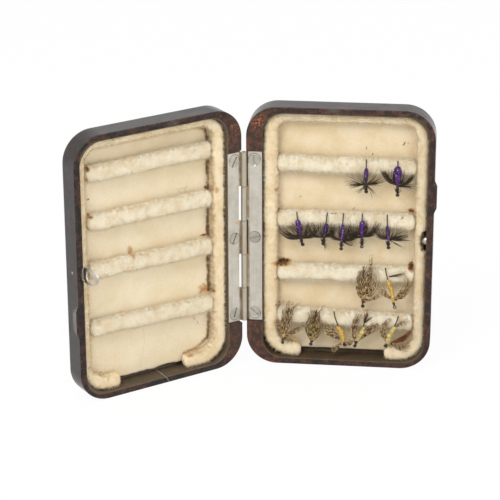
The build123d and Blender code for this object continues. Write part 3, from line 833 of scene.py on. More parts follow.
def nickel(name, colours, line_scale=(3200.0, 3200.0, 60.0), rust_points=(), rings=(), leaf_side=None):
    """Plate with brushed lines and grey clouds. A leaf has rust at points, dirt round its screws, a tinted
    barrel and a patchy brown band beside the barrel."""
    finish = Finish(name, Metallic=1.0)
    spot = finish.coordinates
    brushed = placed(BRUSHED, Vector=spot, Line_Scale=line_scale, Patch_Scale=170.0)
    colour = mixed(between(brushed["Patch"], 0.3, 0.7), *colours)
    colour = shaded(colour, between(brushed["Line"], 0.2, 0.8, 0.9, 1.06))
    if rust_points:
        ragged = noise(spot, 900.0, 4.0, 0.7) * 1.7
        amount = 0.0
        for point in rust_points:
            spread = distance_from(spot, point) / LEAF_RUST_REACH + ragged
            amount = mathematics("MAXIMUM", amount, between(spread, 1.75, 1.05))
        colour = mixed(amount * 0.85, colour, LEAF_RUST_COLOUR)
        finish.set(Metallic=1.0 - amount)
    for point in rings:
        off = mathematics("ABSOLUTE", distance_from(spot, point) - RING_RADIUS)
        colour = mixed(between(off, 0.26, 0.08) * 0.75, colour, RING_DIRT)
    if leaf_side:
        across, _ = shell_numbers(spot, leaf_side)
        colour = mixed(between(across, BARREL_EDGE + 0.2, BARREL_EDGE) * 0.4, colour, BARREL_TINT)
        # A patchy brown band beside the barrel, where the leaf curls into it
        band = between(across, BARREL_EDGE, BARREL_EDGE + 0.25) * between(across, *BARREL_BAND_END)
        patchy = between(noise(spot, 160.0, 4.0, 0.65), 0.36, 0.6, 0.2, 0.75)
        colour = mixed(band * patchy, colour, BARREL_BAND_BROWN)
    finish.set(Base_Color=colour, Roughness=between(brushed["Patch"], 0.3, 0.75, 0.3, 0.5))
    finish.bump(brushed["Line"], 0.004)
    return finish.material


def aged_cloth(name, colours, cloud_scale, fibre_scale, contrast, bump_size, felt=False, **settings):
    """Cotton felt or pile, uneven cream, with the rust, grime and scratches that its vertices carry; one rust
    stain is a painted shadow, and the felt's edges carry painted shade.
    """
    finish = Finish(
        name, Roughness=0.95, Sheen_Weight=0.12, Sheen_Roughness=0.6, Specular_IOR_Level=0.15, **settings
    )
    cloth = placed(
        AGED_CLOTH, Vector=finish.coordinates, Pale=colours[0], Aged=colours[1], Cloud_Scale=cloud_scale,
        Fibre_Scale=fibre_scale, Rust=finish.vertex_value("rust"), Contrast=contrast,
    )
    colour = cloth["Color"]
    if felt:
        colour = mixed(finish.vertex_value("scratch") * SCRATCH_SHARE, colour, SCRATCH_BROWN)
        # Soil in patches, and painted shade along the felt's edges, in one brown
        colour = mixed(finish.vertex_value("soil") * SOIL_AND_SHADE_SHARE, colour, SOIL_AND_SHADE_BROWN)
    grime = finish.vertex_value("grime")
    colour = mixed(between(grime, 0.02, 0.6) * SEAM_SHARE, colour, SEAM_TAN)
    colour = mixed(between(grime, 0.4, 0.9) * GRIME_SHARE, colour, GRIME)
    finish.set(Base_Color=colour)
    if bump_size:
        finish.bump(cloth["Height"], bump_size)
    return finish.material


def floss(name, pale, deep, glint):
    """Wound silk with a flat tinsel over it: fine turns round the body, and small bright facets."""
    finish = Finish(name, Roughness=0.4, Specular_IOR_Level=0.4)
    spot = finish.coordinates
    colour = mixed(between(noise(spot, 1500.0, 3.0, 0.6), 0.35, 0.65), deep, pale)
    facets = add_node(finish.tree, "ShaderNodeTexVoronoi", {"Vector": spot, "Scale": 1500.0})
    facets = Signal(facets.outputs["Distance"])
    bright = between(facets, 0.42, 0.2) * between(noise(spot, 1100.0, 2.0), 0.48, 0.58)
    finish.set(Base_Color=mixed(bright * 0.8, colour, glint), Metallic=bright * 0.5)
    finish.bump(facets, 0.12)
    return finish.material


def hackle(name, dark, pale, bands, band_share):
    """Feather fibres: each has its own tone, and dark bars cross neighbouring fibres together."""
    finish = Finish(name, Roughness=0.6, Specular_IOR_Level=0.25)
    tone, share = finish.vertex_value("tone"), finish.vertex_value("share")
    ragged = noise(finish.coordinates, 800.0, 3.0, 0.6) * 11.0
    wave = mathematics("SINE", share * bands + tone * 1.6 + ragged)
    own = mathematics("FRACT", tone * 7.3) * (1 - band_share)
    bars = between(wave, -0.35, 0.0) * band_share
    finish.set(Base_Color=mixed((bars + own).clamped(), pale, dark))
    return finish.material


def plain_fibre(name, first, second, roughness):
    """Thread, varnish or hair in two close tones."""
    finish = Finish(name, Roughness=roughness, Specular_IOR_Level=0.5)
    cloud = noise(finish.coordinates, 900.0, 3.0)
    finish.set(Base_Color=mixed(between(cloud, 0.35, 0.65), first, second))
    return finish.material


def wire(name, first, second, metallic, roughness):
    """Drawn wire with uneven bronzing or rust."""
    finish = Finish(name, Metallic=metallic)
    cloud = noise(finish.coordinates, 700.0, 4.0, 0.65)
    uneven = between(cloud, 0.3, 0.7, roughness - 0.08, roughness + 0.12)
    finish.set(Base_Color=mixed(between(cloud, 0.35, 0.65), first, second), Roughness=uneven)
    return finish.material


def finish_node(node, material):
    """A CAD node that keeps its shape takes its finished material."""
    materials = frame["nodes"][node].data.materials
    materials.clear()
    materials.append(material)


# Shells and metal parts

def screw_middles(side):
    """The middles of the three screws' heads in a leaf."""
    screws = local_points(side, f"{side.name}_hinge_screws")
    heads = screws[screws[:, 2] < screws[:, 2].min() + SCREW_FACE]
    low, high = heads[:, 1].min(), heads[:, 1].max()
    rows = (low, (low + high) / 2, high)
    return [place(side, heads[np.abs(heads[:, 1] - row) < SCREW_REACH].mean(0)) for row in rows]


def finish_hard_parts():
    screw = nickel("screw_nickel", SCREW_NICKEL, (400.0, 400.0, 400.0))
    catch = nickel("catch_nickel", CATCH_NICKEL, (900.0, 900.0, 900.0))
    rusty_core = wire("core_iron", *CORE_IRON, 0.3, 0.7)
    for side in SIDES:
        rust_points = [place(side, (across, height, 0.0)) for across, height in LEAF_RUST[side.name]]
        leaf = nickel(
            f"{side.name}_leaf_nickel", LEAF_NICKEL, rust_points=rust_points, rings=screw_middles(side),
            leaf_side=side,
        )
        finish_node(f"{side.name}_shell", moulding(side))
        finish_node(f"{side.name}_hinge_leaf", leaf)
        finish_node(f"{side.name}_hinge_screws", screw)
        finish_node(f"{side.name}_strip_wires", rusty_core)
    finish_node("hinge_pin", nickel("pin_steel", PIN_STEEL))
    finish_node("catch_strap", catch)
    finish_node("catch_loop", catch)
    finish_node("catch_stud", nickel("stud_nickel", STUD_NICKEL))
    finish_node("catch_rivet", nickel("rivet_brass", RIVET_BRASS))


def past_loop(height):
    """0 beside the closed catch loop, and 1 above and below it."""
    return smooth_step(LOOP_HALF_HEIGHT, LOOP_HALF_HEIGHT + LOOP_FADE, np.abs(height - LOOP_HEIGHT))


def clear_of_loop(points):
    """Pushes (across, height, depth) points of the right shell's pile out of the closed loop's way."""
    across, height, depth = points[..., 0], points[..., 1], points[..., 2]
    limit = LOOP_NEAR - LOOP_LEAN * depth - LIP_LEAN * np.maximum(depth - LIP_DEPTH, 0)
    points[..., 0] = np.minimum(across, limit + LOOP_FREE * past_loop(height))
    return points


# Felt pads

def pad_distance(across, height, low, high):
    """Signed distance outside a pad's rounded outline, and the direction out of it."""
    middle, half = (low + high) / 2, (high - low) / 2
    away = np.stack([across - middle[0], height - middle[1]], axis=-1)
    corner = np.where(away[..., 0] < 0, FELT_HINGE_CORNER, FELT_FREE_CORNER)
    past = np.abs(away) - half[:2] + corner[..., None]
    outside = np.maximum(past, 0)
    reach = np.linalg.norm(outside, axis=-1)
    distance = reach + np.minimum(past.max(axis=-1), 0) - corner
    direction = np.sign(away) * outside / np.maximum(reach, 1e-9)[..., None]
    return distance, direction


def pad_grid(low, high):
    """Squares that cover a pad, with the outer corners drawn in to its outline: across, height and faces."""
    across, height = (
        np.arange(low[axis] - FELT_STEP, high[axis] + 2 * FELT_STEP, FELT_STEP) for axis in (0, 1)
    )
    rows = len(height)
    across, height = (axis.ravel() for axis in np.meshgrid(across, height, indexing="ij"))
    distance, direction = pad_distance(across, height, low, high)
    inside = distance < 0
    start = np.arange(len(across) - rows).reshape(-1, rows)[:, :-1].ravel()
    quads = np.stack([start, start + rows, start + rows + 1, start + 1], axis=-1)
    used, quads = np.unique(quads[inside[quads].any(axis=1)], return_inverse=True)
    snap = np.where(inside, 0, distance)
    across, height = across - snap * direction[:, 0], height - snap * direction[:, 1]
    return across[used], height[used], quads.reshape(-1, 4)


def felt_pad(side):
    local = local_points(side, f"{side.name}_lining")
    low, high = local.min(0), local.max(0)
    across, height, quads = pad_grid(low, high)
    distance, _ = pad_distance(across, height, low, high)
    wave = flat_noise(across, height, 13.0, 23) + 0.25 * flat_noise(across, height, 3.0, 24)
    inward = np.clip(-distance / FELT_ROLL, 0, 1)
    roll = FELT_ROLL_DEPTH * FELT_ROLL * (1 - np.sqrt(1 - (1 - inward) ** 2))
    depth = low[2] + np.maximum(roll + FELT_WAVE * wave, -0.1)

    # The lower edge was cut by hand and is ragged
    ragged = flat_noise(across, height, 5.0, 21) + 0.6 * flat_noise(across, height, 1.3, 22)
    near_bottom = smooth_step(FELT_CUT_REACH, 0, height - low[1])
    height = height + near_bottom * (FELT_RAGGED[side.name] * ragged - FELT_DROP[side.name])
    if side is RIGHT:
        notch = smooth_step(*LOOP_NOTCH, across) * smooth_step(LOOP_NOTCH_FADE, 0, past_loop(height))
        depth = depth + notch * (LOOP_NOTCH_DEPTH - depth)

    # Painted shade: the pad is browner and darker towards its edges, less so near its bottom; soil patches are
    # added on top
    soil = FELT_EDGE_SHADE * smooth_step(-FELT_EDGE_SHADE_REACH, 0, distance)
    soil = soil * smooth_step(*FELT_EDGE_SHADE_START, height - low[1])
    soil = soil + FELT_PATCH_SOIL * np.clip(flat_noise(across, height, 17.0, 25) * 0.5 + 0.1, 0, 1)
    material = aged_cloth(f"{side.name}_felt", FELT_COLOURS[side.name], 70.0, 1500.0, 0.09, 0.09, felt=True)
    points = place(side, np.stack([across, height, depth], axis=-1))
    pad = new_piece(
        f"{side.name}_felt_pad", side.body, "felt", points, [quads], [material],
        rust=rust_and_shadow_at(side, across, height), grime=grime_at(side, across, height),
        scratch=scratch_at(side, across, height), soil=np.clip(soil, 0, 1),
    )
    close_pad(pad, side, high[2])
    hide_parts(f"{side.name}_lining")


def close_pad(pad, side, back):
    """Runs the pad's edge back to the shell's floor and closes it there."""
    work = bmesh.new()
    work.from_mesh(pad.data)
    rim = [edge for edge in work.edges if edge.is_boundary]
    made = bmesh.ops.extrude_edge_only(work, edges=rim)["geom"]
    for vertex in (item for item in made if isinstance(item, bmesh.types.BMVert)):
        point = np.array(vertex.co) / MM
        depth = (point - side.origin) @ side.deep
        vertex.co = tuple((point + (back - depth) * side.deep) * MM)
    bmesh.ops.holes_fill(work, edges=[edge for edge in work.edges if edge.is_boundary])
    bmesh.ops.recalc_face_normals(work, faces=work.faces)
    work.to_mesh(pad.data)
    work.free()
    pad.data.update()


# Pile strips

def pile_materials(side, kind):
    """The pile's close ground, and the fibres that stand out of it."""
    ground, fibre = f"{side.name}_{kind}_pile", f"{side.name}_{kind}_pile_fibre"
    colours = PILE_COLOURS[side.name, kind]
    soft = {"Subsurface_Weight": 0.5, "Subsurface_Scale": 0.8 * MM, "Subsurface_Radius": (1.0, 0.8, 0.55)}
    return [
        aged_cloth(ground, colours, 210.0, 900.0, 0.1, 0.2, **soft),
        aged_cloth(fibre, colours, 210.0, 900.0, 0.05, 0),
    ]


class Strip(NamedTuple):
    """A strip's middle line and its section at even stations."""
    stations: np.ndarray
    centre: np.ndarray
    lateral: np.ndarray
    width: np.ndarray
    thick: np.ndarray
    middle: np.ndarray
    half_width: float
    depths: tuple
    seed: int
    pinched: bool


def lay_strip(line, half_width, depths, seed, narrowing=None, pinch=None):
    """A strip along a line of (across, height) points, that may be narrower or squeezed in places."""
    steps = np.linalg.norm(np.diff(line, axis=0), axis=1)
    length = np.concatenate([[0], np.cumsum(steps)])
    stations = np.linspace(0, length[-1], int(length[-1] / PILE_STEP) + 1)
    centre = np.stack([np.interp(stations, length, line[:, axis]) for axis in (0, 1)], axis=1)
    along = unit(np.gradient(centre, axis=0))
    lateral = np.stack([-along[:, 1], along[:, 0]], axis=1)
    to_end = np.minimum(stations, length[-1] - stations)
    closing = np.sqrt(1 - (1 - np.clip(to_end / PILE_END, 0.03, 1)) ** 2)
    share = narrowing(centre) if narrowing else np.ones(len(stations))
    wander = smooth_noise(np.stack([stations, 0 * stations, 0 * stations + seed], axis=1), 7.0, seed + 5)
    centre = centre + lateral * (half_width * (1 - share))[:, None]
    centre = centre + lateral * (PILE_WANDER * wander * share)[:, None]
    width = half_width * closing * share
    front = depths[0] + EDGE_SINK * (1 - share)
    if pinch:
        off = np.abs(centre[:, 1] - pinch[1])
        squeeze = smooth_step(PINCH_REACH, PINCH_REACH - PINCH_FADE, off)
        squeeze = squeeze * (centre[:, 0] > pinch[0])
        width = width * (1 - PINCH_NARROWER * squeeze)
        front = front + PINCH_DEEPER * squeeze
        centre = centre - np.outer(squeeze, (PINCH_ASIDE, 0))
    thick, middle = (depths[1] - front) / 2 * np.sqrt(closing), (front + depths[1]) / 2
    return Strip(stations, centre, lateral, width, thick, middle, half_width, depths, seed, bool(pinch))


def strip_skin(strip, station, turn, lift):
    """Points of a strip's ribbed skin: turn 0 is one edge and a quarter turn is the crown."""
    index, seed = np.arange(len(strip.stations)), strip.seed
    at = station / strip.stations[-1] * (len(index) - 1)
    values = (*strip.centre.T, *strip.lateral.T, strip.width, strip.thick, strip.middle)
    across, height, side_across, side_height, width, thick, middle = (
        np.interp(at, index, value) for value in values
    )
    over, out = np.cos(turn), np.sin(turn)
    over = np.sign(over) * np.abs(over) ** np.where(out > 0, PILE_FLATNESS, PILE_FLANK)
    out = np.sign(out) * np.abs(out) ** PILE_FLATNESS
    key = np.stack([station + 0 * turn, over * strip.half_width, out * 2 + 50 * seed], axis=-1)
    turned = np.pi * (station + RIB_SLANT * over + RIB_WANDER * smooth_noise(key, 4.0, seed)) / PILE_RIB
    tuft = np.abs(np.sin(turned)) ** TUFT_LEVEL - TUFT_LEVEL
    tuft = tuft * (0.6 + 0.5 * smooth_noise(key, 5.0, seed + 3))
    tuft = tuft * width / strip.half_width
    lumps = BROAD_LUMPS * smooth_noise(key, 2.6, seed + 1) + FINE_LUMPS * smooth_noise(key, 1.1, seed + 2)
    off = over * (width * (1 + lumps) + TUFT_ASIDE * tuft * over**2 + lift)
    deep = middle - out * (thick * (1 + lumps) + TUFT_OUT * tuft + lift)
    skin = np.stack([across + side_across * off, height + side_height * off, deep], axis=-1)
    return clear_of_loop(skin) if strip.pinched else skin


def pile_strip(side, node, kind, materials, strip):
    """A fluffy strip: a ribbed ground with fibres standing out of it, most of them along its two edges."""
    turns = np.arange(PILE_ROUND) * 2 * np.pi / PILE_ROUND
    skin = strip_skin(strip, *np.meshgrid(strip.stations, turns, indexing="ij"), -PILE_SKIN_SINK)
    gather = Gather()
    gather.add(place(side, skin).reshape(-1, 3), ring_faces(1, len(strip.stations), PILE_ROUND), 0)

    rng = np.random.default_rng(strip.seed)
    length = strip.stations[-1]
    number = int(length * PILE_DENSITY[kind])
    station = rng.uniform(0.1, length - 0.1, number)
    edge = rng.integers(0, 2, number) * np.pi + rng.normal(0, SIDE_SPREAD * np.pi, number)
    at_side = rng.random(number) < PILE_AT_SIDES
    turn = np.where(at_side, edge, rng.uniform(FRONT_ARC[0] * np.pi, FRONT_ARC[1] * np.pi, number))
    reach = rng.uniform(*PILE_LENGTH, number)
    reach = reach * np.where(rng.random(number) < LONG_FIBRES, LONG_FIBRE_GAIN, 1.0)
    root = strip_skin(strip, station, turn, -FIBRE_ROOT)
    outward = unit(strip_skin(strip, station, turn, FIBRE_AIM) - root)
    tip = root + unit(outward + rng.normal(0, FIBRE_STRAY, (number, 3))) * reach[:, None]
    tip[:, 2] = np.maximum(tip[:, 2], strip.depths[0] - FIBRE_FRONT)
    if strip.pinched:
        tip = clear_of_loop(tip)
    radii = np.outer(rng.uniform(*PILE_THICKNESS, number) * PILE_RADIUS, PILE_TAPER)
    gather.add_strands(place(side, np.stack([root, tip], axis=1)), radii, 1, rng.random(number))

    vertices = np.concatenate(gather.vertices)
    across, height = (vertices - side.origin) @ side.along, vertices[:, 2]
    piece = new_piece(
        f"{node}_pile", side.body, "pile", vertices, gather.faces, materials, np.concatenate(gather.looks),
        rust=PILE_RUST_AND_SHADOW * rust_and_shadow_at(side, across, height), grime=PILE_GRIME * grime_at(side, across, height),
    )
    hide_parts(node)


def rounded_route(corners, radii, step=0.3):
    """Points along straight runs between corners, with an arc of its own radius at each inner corner."""
    corners = [np.array(corner, float) for corner in corners]
    points = [corners[0]]
    for before, corner, after, radius in zip(corners, corners[1:], corners[2:], radii):
        to_before, to_after = unit(before - corner), unit(after - corner)
        centre = corner + (to_before + to_after) * radius
        count = int(radius * np.pi / 2 / step) + 1
        for share in np.linspace(0, np.pi / 2, count):
            points.append(centre - to_after * radius * np.cos(share) - to_before * radius * np.sin(share))
    points.append(corners[-1])
    return np.array(points)


def cross_strips(side):
    materials = pile_materials(side, "cross")
    nodes = sorted(node for node in frame["nodes"] if node.startswith(f"{side.name}_cross_strip_"))
    near_reach, far_reach = CROSS_REACH[side.name]
    for number, node in enumerate(nodes, start=1):
        local = local_points(side, node)
        low, high = local.min(0), local.max(0)
        ends = []
        for across in (low[0], high[0]):
            heights = local[np.abs(local[:, 0] - across) < CROSS_END, 1]
            ends.append(np.array((across, (heights.min() + heights.max()) / 2)))
        half_width = (high[1] - low[1] - abs(ends[1][1] - ends[0][1])) / 2
        run = unit(ends[1] - ends[0])
        line = np.array([ends[0] - run * near_reach, ends[1] + run * far_reach])
        seed = CROSS_SEED + 7 * number + SIDE_SEED[side.name]
        pile_strip(side, node, "cross", materials, lay_strip(line, half_width, (low[2], high[2]), seed))


def edge_strip(side):
    node = f"{side.name}_edge_strip"
    local = local_points(side, node)
    low, high = local.min(0), local.max(0)
    near, bottom = low[:2] + EDGE_HALF_WIDTH
    far, top = high[:2] - EDGE_HALF_WIDTH
    feet = local[local[:, 1] < bottom + EDGE_HALF_WIDTH, 0]
    middle = (near + far) / 2
    start, end = feet[feet < middle].max(), feet[feet > middle].min()
    corners = [(start, bottom), (near, bottom), (near, top), (far, top), (far, bottom), (end, bottom)]
    pinch = (middle, (low[1] + high[1]) / 2) if side is RIGHT else None

    def narrowing(centre):
        """The strip's share of its full width: it lies flatter along the top and the free wall."""
        across, height = centre.T
        turn, end = EDGE_TURN, EDGE_TURN["end"]
        at_top = smooth_step(top - turn["top"], top - end, height)
        at_top = at_top * smooth_step(near, near + turn["top"], across)
        at_far = smooth_step(far - turn["far"], far - end, across)
        at_far = at_far * smooth_step(bottom + end, bottom + turn["foot"], height)
        share = 1 - (1 - EDGE_TOP_SHARE[side.name]) * at_top
        return np.minimum(share, 1 - (1 - EDGE_FAR_SHARE[side.name]) * at_far)

    route = rounded_route(corners, EDGE_CORNERS)
    seed = EDGE_SEED + SIDE_SEED[side.name]
    strip = lay_strip(route, EDGE_HALF_WIDTH, (low[2], high[2]), seed, narrowing, pinch)
    pile_strip(side, node, "edge", pile_materials(side, "edge"), strip)


# Flies

class Fly(NamedTuple):
    """body: where it starts and ends, as shares of the way from the hook's bend to its eye. girth: its radius
    where it is fullest, at that share of its own length. bow: how far it curves to one side. eye: how much
    varnish fills the hook's eye."""
    floss: str
    body: tuple
    girth: float
    fullest: float
    bow: float
    eye: float = 0.8


# In the same order as their hooks
FLIES = (
    Fly("purple", (0.12, 0.60), 0.85, 0.4, 0.0),
    Fly("purple", (0.02, 0.58), 1.55, 0.3, 0.0),
    Fly("purple", (0.10, 0.64), 1.10, 0.4, 0.1),
    Fly("purple", (0.22, 0.66), 0.85, 0.5, 0.0),
    Fly("purple", (0.20, 0.74), 0.90, 0.5, 0.0),
    Fly("purple", (0.08, 0.62), 1.10, 0.3, 0.0, 0.3),
    Fly("purple", (0.22, 0.76), 0.80, 0.4, 0.1),
    Fly("olive", (0.36, 0.80), 0.55, 0.5, 0.0),
    Fly("amber", (0.18, 0.84), 0.90, 0.5, 0.5, 0.0),
    Fly("amber", (0.50, 0.84), 0.60, 0.5, 0.0),
    Fly("olive", (0.46, 0.84), 0.80, 0.5, 0.0),
    Fly("amber", (0.32, 0.88), 1.15, 0.5, 0.5),
    Fly("yellow", (0.28, 0.80), 0.90, 0.5, 0.2),
    Fly("yellow", (0.20, 0.88), 0.95, 0.6, -0.7),
)


class Bundle(NamedTuple):
    """Hackle fibres. path: (across, height) points along their middle, from their roots to their tips.
    belly and fan: how far the fibres stand off the path halfway along it and at their tips."""
    fly: int
    look: str
    count: int
    path: tuple
    belly: float
    fan: float


BUNDLES = (
    Bundle(1, "dark", 34, ((50.1, 81.4), (46.0, 82.6), (41.2, 84.0)), 0.9, 4.0),
    Bundle(1, "dark", 16, ((50.1, 81.4), (47.0, 81.2), (43.2, 79.9)), 0.3, 1.0),
    Bundle(1, "dark", 34, ((50.1, 81.4), (54.0, 83.0), (57.6, 85.2)), 0.9, 4.0),
    Bundle(1, "dark", 8, ((50.1, 81.4), (52.4, 79.0), (54.4, 75.8)), 0.2, 2.2),
    Bundle(1, "dark", 6, ((50.1, 81.4), (48.0, 79.2), (45.8, 77.4)), 0.1, 1.2),
    Bundle(1, "dark", 26, ((50.1, 81.4), (50.2, 84.5), (50.4, 88.6)), 2.2, 5.4),
    Bundle(2, "dark", 80, ((62.8, 81.5), (59.2, 84.0), (56.9, 87.6)), 0.5, 0.8),
    Bundle(2, "dark", 18, ((62.6, 81.6), (58.0, 85.6), (54.9, 89.4)), 0.3, 0.9),
    Bundle(2, "dark", 80, ((63.1, 81.3), (67.0, 83.2), (69.6, 87.0)), 0.5, 0.9),
    Bundle(2, "dark", 20, ((63.1, 81.0), (67.6, 81.4), (71.4, 81.0)), 0.4, 1.8),
    Bundle(2, "dark", 80, ((62.9, 81.6), (62.9, 84.6), (63.1, 88.6)), 3.0, 5.4),
    Bundle(3, "dark", 76, ((24.2, 56.7), (18.8, 57.9), (14.3, 61.6)), 0.8, 1.1),
    Bundle(3, "dark", 46, ((24.3, 56.7), (28.6, 58.6), (31.6, 62.6)), 0.6, 1.9),
    Bundle(3, "dark", 50, ((24.2, 56.8), (22.0, 59.6), (19.0, 63.2)), 1.6, 3.6),
    Bundle(3, "dark", 50, ((24.4, 56.8), (26.8, 60.0), (28.4, 64.6)), 1.6, 3.4),
    Bundle(4, "dark", 46, ((32.8, 57.4), (28.8, 58.8), (26.3, 63.4)), 0.5, 1.5),
    Bundle(4, "dark", 46, ((32.8, 57.4), (36.4, 59.6), (37.3, 64.4)), 0.5, 1.4),
    Bundle(4, "dark", 44, ((32.8, 57.4), (32.6, 60.6), (32.4, 64.6)), 2.4, 4.4),
    Bundle(4, "dark", 10, ((32.8, 57.2), (33.6, 54.4), (34.4, 52.2)), 0.2, 1.3),
    Bundle(5, "dark", 50, ((40.5, 56.2), (36.6, 58.4), (34.8, 63.4)), 0.6, 1.3),
    Bundle(5, "dark", 60, ((40.6, 56.2), (45.2, 57.8), (47.9, 62.8)), 0.8, 1.6),
    Bundle(5, "dark", 60, ((40.6, 56.2), (40.8, 60.0), (41.0, 64.4)), 3.0, 5.0),
    Bundle(5, "dark", 16, ((40.6, 56.0), (44.0, 55.0), (47.6, 55.6)), 0.3, 0.9),
    Bundle(6, "dark", 56, ((49.0, 58.2), (44.6, 59.3), (42.0, 63.6)), 0.6, 1.4),
    Bundle(6, "dark", 56, ((49.0, 58.2), (53.0, 60.4), (55.4, 65.4)), 0.6, 1.4),
    Bundle(6, "dark", 64, ((49.0, 58.4), (49.0, 61.4), (48.8, 66.2)), 3.2, 5.6),
    Bundle(7, "dark", 44, ((60.1, 57.6), (56.2, 59.3), (53.4, 63.4)), 0.5, 1.4),
    Bundle(7, "dark", 50, ((60.1, 57.6), (64.2, 59.4), (68.0, 60.4)), 0.6, 2.4),
    Bundle(7, "dark", 44, ((60.2, 57.6), (59.8, 60.6), (59.4, 64.4)), 2.6, 4.8),
    Bundle(7, "dark", 26, ((60.2, 57.4), (64.8, 58.0), (69.4, 58.2)), 0.4, 1.8),
    Bundle(7, "dark", 8, ((60.3, 57.2), (63.8, 55.6), (67.0, 53.6)), 0.2, 0.8),
    Bundle(8, "partridge", 120, ((50.3, 28.8), (51.3, 34.8), (52.0, 40.4), (52.9, 45.6)), 3.1, 2.2),
    Bundle(8, "partridge", 44, ((50.2, 28.8), (48.3, 33.4), (47.8, 38.6), (48.6, 43.4)), 0.9, 0.5),
    Bundle(8, "partridge", 14, ((51.6, 41.0), (52.8, 46.4), (53.1, 51.2)), 0.6, 0.4),
    Bundle(8, "partridge", 18, ((50.4, 28.9), (54.6, 31.6), (58.6, 34.0)), 0.3, 1.3),
    Bundle(9, "partridge", 28, ((62.7, 30.4), (66.6, 32.8), (68.3, 38.0), (66.6, 42.4)), 0.7, 0.9),
    Bundle(9, "partridge", 30, ((62.5, 30.6), (66.0, 34.4), (69.2, 38.4)), 0.6, 2.6),
    Bundle(9, "partridge", 34, ((62.4, 30.6), (59.0, 33.4), (56.0, 36.6)), 0.5, 1.9),
    Bundle(9, "dark", 18, ((60.4, 41.0), (63.8, 42.2), (67.6, 43.2)), 0.3, 0.5),
    Bundle(10, "partridge", 76, ((16.4, 10.8), (17.0, 16.2), (18.0, 22.4), (18.5, 28.6)), 1.3, 2.2),
    Bundle(10, "partridge", 42, ((16.6, 10.8), (20.2, 14.2), (25.6, 17.4)), 0.8, 1.1),
    Bundle(10, "partridge", 40, ((16.3, 11.2), (14.3, 15.2), (13.0, 18.8)), 0.7, 1.0),
    Bundle(10, "partridge", 10, ((17.4, 20.4), (20.6, 25.2), (24.2, 29.0)), 0.3, 1.0),
    Bundle(11, "oval", 170, ((28.3, 9.6), (28.9, 14.2), (29.3, 19.0), (29.8, 24.6)), 2.9, 0.9),
    Bundle(11, "partridge", 12, ((29.0, 18.0), (31.0, 22.8), (34.2, 27.6)), 0.4, 1.2),
    Bundle(11, "partridge", 10, ((28.4, 18.0), (28.0, 21.6), (27.0, 25.8)), 0.6, 1.0),
    Bundle(12, "partridge", 84, ((41.9, 11.2), (38.0, 13.8), (34.6, 16.4), (32.4, 18.4)), 1.3, 1.2),
    Bundle(12, "partridge", 50, ((41.9, 10.8), (39.2, 8.6), (36.0, 6.4)), 0.5, 1.8),
    Bundle(12, "partridge", 40, ((41.9, 10.8), (44.2, 10.2), (45.2, 13.6)), 0.5, 1.7),
    Bundle(13, "partridge", 44, ((46.7, 9.8), (46.2, 14.6), (46.7, 20.0), (49.2, 24.6)), 0.8, 1.0),
    Bundle(13, "partridge", 56, ((47.4, 10.6), (51.0, 14.6), (54.2, 17.6), (56.8, 19.2)), 1.2, 1.4),
    Bundle(13, "red", 16, ((50.3, 19.6), (51.0, 23.0), (51.8, 26.2)), 0.4, 1.2),
    Bundle(13, "red", 12, ((50.8, 19.8), (52.6, 22.0), (54.4, 23.6)), 0.2, 0.6),
    Bundle(14, "partridge", 50, ((60.2, 11.0), (58.4, 15.0), (59.0, 19.2), (61.8, 22.4)), 0.9, 1.1),
    Bundle(14, "red", 90, ((61.7, 11.0), (65.4, 12.6), (68.0, 14.6), (70.2, 17.2)), 1.0, 0.6),
    Bundle(14, "partridge", 44, ((61.7, 10.6), (65.6, 9.6), (70.0, 10.0)), 0.5, 1.7),
    Bundle(14, "partridge", 20, ((63.0, 17.8), (65.8, 20.4), (69.0, 22.2)), 0.4, 1.6),
)


def fly_materials():
    return {
        "purple": floss("purple_floss", (0.078, 0.007, 0.15), (0.016, 0.003, 0.04), (0.58, 0.38, 0.82)),
        "amber": floss("amber_floss", (0.62, 0.41, 0.075), (0.36, 0.19, 0.03), (0.93, 0.84, 0.56)),
        "yellow": floss("yellow_floss", (0.66, 0.55, 0.19), (0.40, 0.30, 0.085), (0.9, 0.86, 0.62)),
        "olive": floss("olive_floss", (0.32, 0.25, 0.085), (0.13, 0.095, 0.035), (0.6, 0.52, 0.3)),
        "dark": hackle("dark_hackle", (0.018, 0.0125, 0.008), (0.085, 0.058, 0.034), 2.0, 0.2),
        "partridge": hackle("partridge_hackle", (0.036, 0.017, 0.007), (0.69, 0.48, 0.245), 28.0, 0.92),
        "oval": hackle("olive_partridge_hackle", (0.034, 0.018, 0.007), (0.54, 0.38, 0.165), 28.0, 0.9),
        "red": hackle("red_feather", (0.10, 0.032, 0.014), (0.30, 0.105, 0.038), 14.0, 0.6),
        "head": plain_fibre("head_varnish", (0.018, 0.013, 0.01), (0.05, 0.035, 0.025), 0.3),
        "hair": plain_fibre("hair", (0.75, 0.72, 0.66), (0.6, 0.57, 0.5), 0.5),
        "hook": wire("hook_bronze", (0.03, 0.025, 0.021), (0.07, 0.052, 0.04), 0.6, 0.42),
    }


def hook_line(node):
    """The middle of the hook's bend and the middle of its eye, as (across, height)."""
    local = local_points(RIGHT, node)
    lowest, highest = local[:, 1].min(), local[:, 1].max()
    top, eye = local[local[:, 1] > highest - HOOK_TOP], local[local[:, 1] < lowest + HOOK_EYE]
    return np.array([top[:, 0].mean(), highest - HOOK_BEND]), eye[:, :2].mean(axis=0)


def smooth_path(corners, count):
    """Even stations along a smooth curve through a few points."""
    corners = np.asarray(corners, float)
    padded = np.concatenate([[2 * corners[0] - corners[1]], corners, [2 * corners[-1] - corners[-2]]])
    at = np.linspace(0, len(corners) - 1, count)
    index = np.minimum(at.astype(int), len(corners) - 2)
    share = (at - index)[:, None]
    before, start, end, after = (padded[index + step] for step in range(4))
    square = (2 * before - 5 * start + 4 * end - after) * share**2
    cube = (3 * start - before - 3 * end + after) * share**3
    return 0.5 * (2 * start + (end - before) * share + square + cube)


